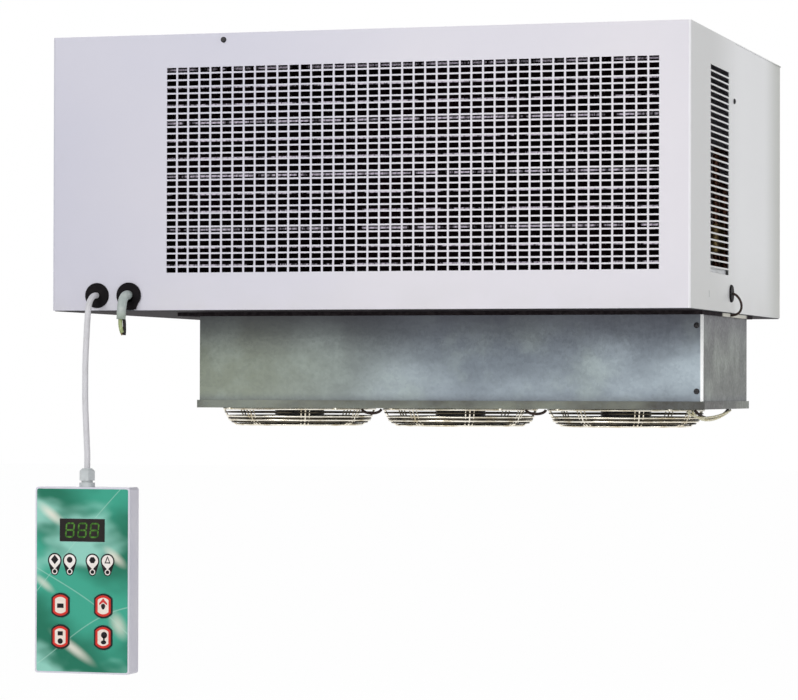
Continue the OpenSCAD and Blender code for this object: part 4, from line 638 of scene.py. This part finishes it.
# Four lamps: each a small round light under a white field with a plain sign.
face_y, outline_t, field_t, sign_t, light_t = -0.3979, 0.00010, 0.00018, 0.00026, 0.0003
lamp_z, field_up, sign_up = -0.365, 0.0155, 0.0165
lamp_x = [controller_x + dx / 1000 for dx in (-41, -18.5, 15.5, 38)]
lamp_outline, lamp_field, lamp_signs = bmesh.new(), bmesh.new(), bmesh.new()
for x in lamp_x:
    flat_mark(lamp_outline, drop_outline(10.4, 5.6, 15.5), x, lamp_z + field_up, face_y, outline_t)
    flat_mark(lamp_field, drop_outline(8.4, 1.4, 10.2), x, lamp_z + field_up, face_y, field_t)
    flat_mark(lamp_field, round_outline(4.1), x, lamp_z, face_y, field_t)
    flat_mark(lamp_signs, round_outline(2.7), x, lamp_z, face_y, light_t)
signs = [
    [[(0, -6.6), (5.6, 0), (0, 6.6), (-5.6, 0)]],
    [round_outline(4.2, 24)],
    [round_outline(4.8, 6)],
    [[(-4.4, -4.2), (-2.9, -4.2), (0.0, 2.9), (-0.5, 5.4)],
     [(4.4, -4.2), (0.5, 5.4), (-0.5, 5.4), (2.9, -4.2)],
     [(-3.0, -4.2), (3.0, -4.2), (2.6, -2.7), (-2.6, -2.7)]],
]
for x, outlines in zip(lamp_x, signs):
    for outline in outlines:
        flat_mark(lamp_signs, outline, x, lamp_z + sign_up, face_y, sign_t)
new_piece("lamp_outlines", lamp_outline, ink)
new_piece("lamp_fields", lamp_field, white_ink)
new_piece("lamp_signs", lamp_signs, ink)

# Marks on the keys: bars and dots, an arrow with a drop, a stroke with a ring.
# Each key: its side, its row and the outlines of its black and red marks.
key_face_y, key_mark_t, mark_scale = -0.39889, 0.00003, 1.35
key_marks = {
    "key_upper_left": (-1, 1, {"mark": [box_outline(7.2, 4.6, 0, -0.6)]}),
    "key_upper_right": (1, 1, {
        "mark": [drop_outline(2.4, 1.6, 2.0)],
        "arrow": [[(-4.6, 2.6), (-4.0, 1.0), (0, 3.8), (4.0, 1.0), (4.6, 2.6), (0, 8.0)]]}),
    "key_lower_left": (-1, -1, {"mark": [box_outline(5.8, 4.4, 0, 3.4), round_outline(2.9, 20, 0, -4.6)]}),
    "key_lower_right": (1, -1, {
        "mark": [round_outline(3.4, 20, 1.2, 2.6), round_outline(3.0, 20, 0.6, -4.8, 0.7),
                 box_outline(1.8, 5, 1.0, -1.4)]}),
}
key_inks = {"mark": (ink, "black_plastic"), "arrow": (red_ink, "key")}
for key, (aside, row, kinds) in key_marks.items():
    for kind, outlines in kinds.items():
        key_print = bmesh.new()
        for outline in outlines:
            flat_mark(key_print, [(u * mark_scale, w * mark_scale) for u, w in outline],
                      controller_x + aside * key_aside, key_mid_z + row * key_apart, key_face_y, key_mark_t)
        look, slot = key_inks[kind]
        new_piece(key + "_" + kind, key_print, look, body=key)

# Three digits of seven bars each, dim green behind the dark window.
digit_light = Finish("green digit bars", Roughness=0.5, Specular_IOR_Level=0.1, Emission_Strength=0.15)
digit_tone = digit_light.mix(digit_light.noise(300, 2).smooth(0.35, 0.65),
                             (0.022, 0.085, 0.010), (0.085, 0.23, 0.035))
digit_light.set(Base_Color=digit_tone, Emission_Color=digit_tone)
digits = bmesh.new()
digit_w, digit_h, bar, lean, bar_gap = 11.5, 19.0, 2.3, 0.09, 0.35
window_y, digit_z, digit_t = -0.39795, -0.307, 0.00012
for place in (-18.3, 0.2, 18.2):
    for u, w, long, upright in (
            (0, digit_h / 2, digit_w, False), (0, 0, digit_w, False), (0, -digit_h / 2, digit_w, False),
            (-digit_w / 2, digit_h / 4, digit_h / 2, True), (digit_w / 2, digit_h / 4, digit_h / 2, True),
            (-digit_w / 2, -digit_h / 4, digit_h / 2, True), (digit_w / 2, -digit_h / 4, digit_h / 2, True)):
        a, b = long / 2 - bar_gap, bar / 2
        ends = [(-a, 0), (-a + b, -b), (a - b, -b), (a, 0), (a - b, b), (-a + b, b)]
        if upright:
            ends = [(-y, x) for x, y in ends]
        slanted = [(x + u + (y + w) * lean, y + w) for x, y in ends]
        flat_mark(digits, slanted, controller_x + place / 1000, digit_z, window_y, digit_t)
new_piece("display_digits", digits, digit_light)

# ---------------------------------------------------------------- floor, light and white ground
# Pale studio floor well below the unit, seen only from above, and soft white
# light from both sides, with a weak lamp behind for the views of the back.
floor_z, floor_half = -0.95, 30
floor_mesh = bmesh.new()
bmesh.ops.create_grid(floor_mesh, x_segments=1, y_segments=1, size=floor_half)
bmesh.ops.translate(floor_mesh, vec=(0, 0, floor_z), verts=floor_mesh.verts)
floor_data = bpy.data.meshes.new("studio_floor")
floor_mesh.to_mesh(floor_data)
floor_mesh.free()
floor = bpy.data.objects.new("studio_floor", floor_data)
bpy.context.scene.collection.objects.link(floor)


def seen_white(tree, shader, target, share):
    """Mixes white light into what the camera, gloss and glass see."""
    path = tree.nodes.new("ShaderNodeLightPath")
    either = tree.nodes.new("ShaderNodeMath")
    either.operation = "MAXIMUM"
    tree.links.new(path.outputs["Is Camera Ray"], either.inputs[0])
    tree.links.new(path.outputs["Is Glossy Ray"], either.inputs[1])
    third = tree.nodes.new("ShaderNodeMath")
    third.operation = "MAXIMUM"
    tree.links.new(either.outputs[0], third.inputs[0])
    tree.links.new(path.outputs["Is Transmission Ray"], third.inputs[1])
    part = tree.nodes.new("ShaderNodeMath")
    part.operation = "MULTIPLY"
    tree.links.new(third.outputs[0], part.inputs[0])
    part.inputs[1].default_value = share
    blend = tree.nodes.new("ShaderNodeMixShader")
    tree.links.new(part.outputs[0], blend.inputs[0])
    tree.links.new(shader, blend.inputs[1])
    tree.links.new(target, blend.inputs[2])
    return blend.outputs[0]


floor_look = bpy.data.materials.new("pale floor")
floor_look.use_nodes = True
floor_tree = floor_look.node_tree
floor_shader = floor_tree.nodes["Principled BSDF"]
floor_shader.inputs["Base Color"].default_value = (0.93, 0.93, 0.93, 1)
floor_shader.inputs["Roughness"].default_value = 0.9
floor_glow = floor_tree.nodes.new("ShaderNodeEmission")
floor_out = floor_tree.nodes["Material Output"]
floor_under = floor_tree.nodes.new("ShaderNodeMixShader")
floor_side = floor_tree.nodes.new("ShaderNodeNewGeometry")
floor_clear = floor_tree.nodes.new("ShaderNodeBsdfTransparent")
floor_white = seen_white(floor_tree, floor_shader.outputs[0], floor_glow.outputs[0], 0.985)
floor_tree.links.new(floor_side.outputs["Backfacing"], floor_under.inputs[0])
floor_tree.links.new(floor_white, floor_under.inputs[1])
floor_tree.links.new(floor_clear.outputs[0], floor_under.inputs[2])
floor_tree.links.new(floor_under.outputs[0], floor_out.inputs["Surface"])
floor.data.materials.append(floor_look)

world = bpy.data.worlds.new("studio")
bpy.context.scene.world = world
world.use_nodes = True
world_tree = world.node_tree
ambient = world_tree.nodes["Background"]
ambient.inputs["Color"].default_value = (0.93, 0.95, 1.0, 1)
ambient.inputs["Strength"].default_value = 0.36
white_ground = world_tree.nodes.new("ShaderNodeBackground")
white_ground.inputs["Color"].default_value = (1, 1, 1, 1)
world_tree.links.new(seen_white(world_tree, ambient.outputs[0], white_ground.outputs[0], 1.0),
                     world_tree.nodes["World Output"].inputs["Surface"])


def soft_lamp(name, place, target, size, power):
    """Square area lamp that faces its target."""
    lamp = bpy.data.lights.new(name, "AREA")
    lamp.shape, lamp.size, lamp.energy = "SQUARE", size, power
    obj = bpy.data.objects.new(name, lamp)
    bpy.context.scene.collection.objects.link(obj)
    facing = (Vector(target) - Vector(place)).to_track_quat("-Z", "Y").to_matrix().to_4x4()
    obj.matrix_world = Matrix.Translation(place) @ facing


soft_lamp("key_lamp", (-1.6, -3.8, 1.9), (0, 0, 0), 2.2, 78)
soft_lamp("side_lamp", (3.6, -1.2, 1.0), (0.4, 0, 0), 1.8, 34)
soft_lamp("low_lamp", (0.6, -3.4, -0.7), (0.1, -0.2, -0.2), 1.4, 14)
soft_lamp("back_lamp", (-1.4, 3.8, 1.6), (0, 0, 0.1), 2.4, 34)

bpy.context.scene.view_settings.view_transform = "Standard"
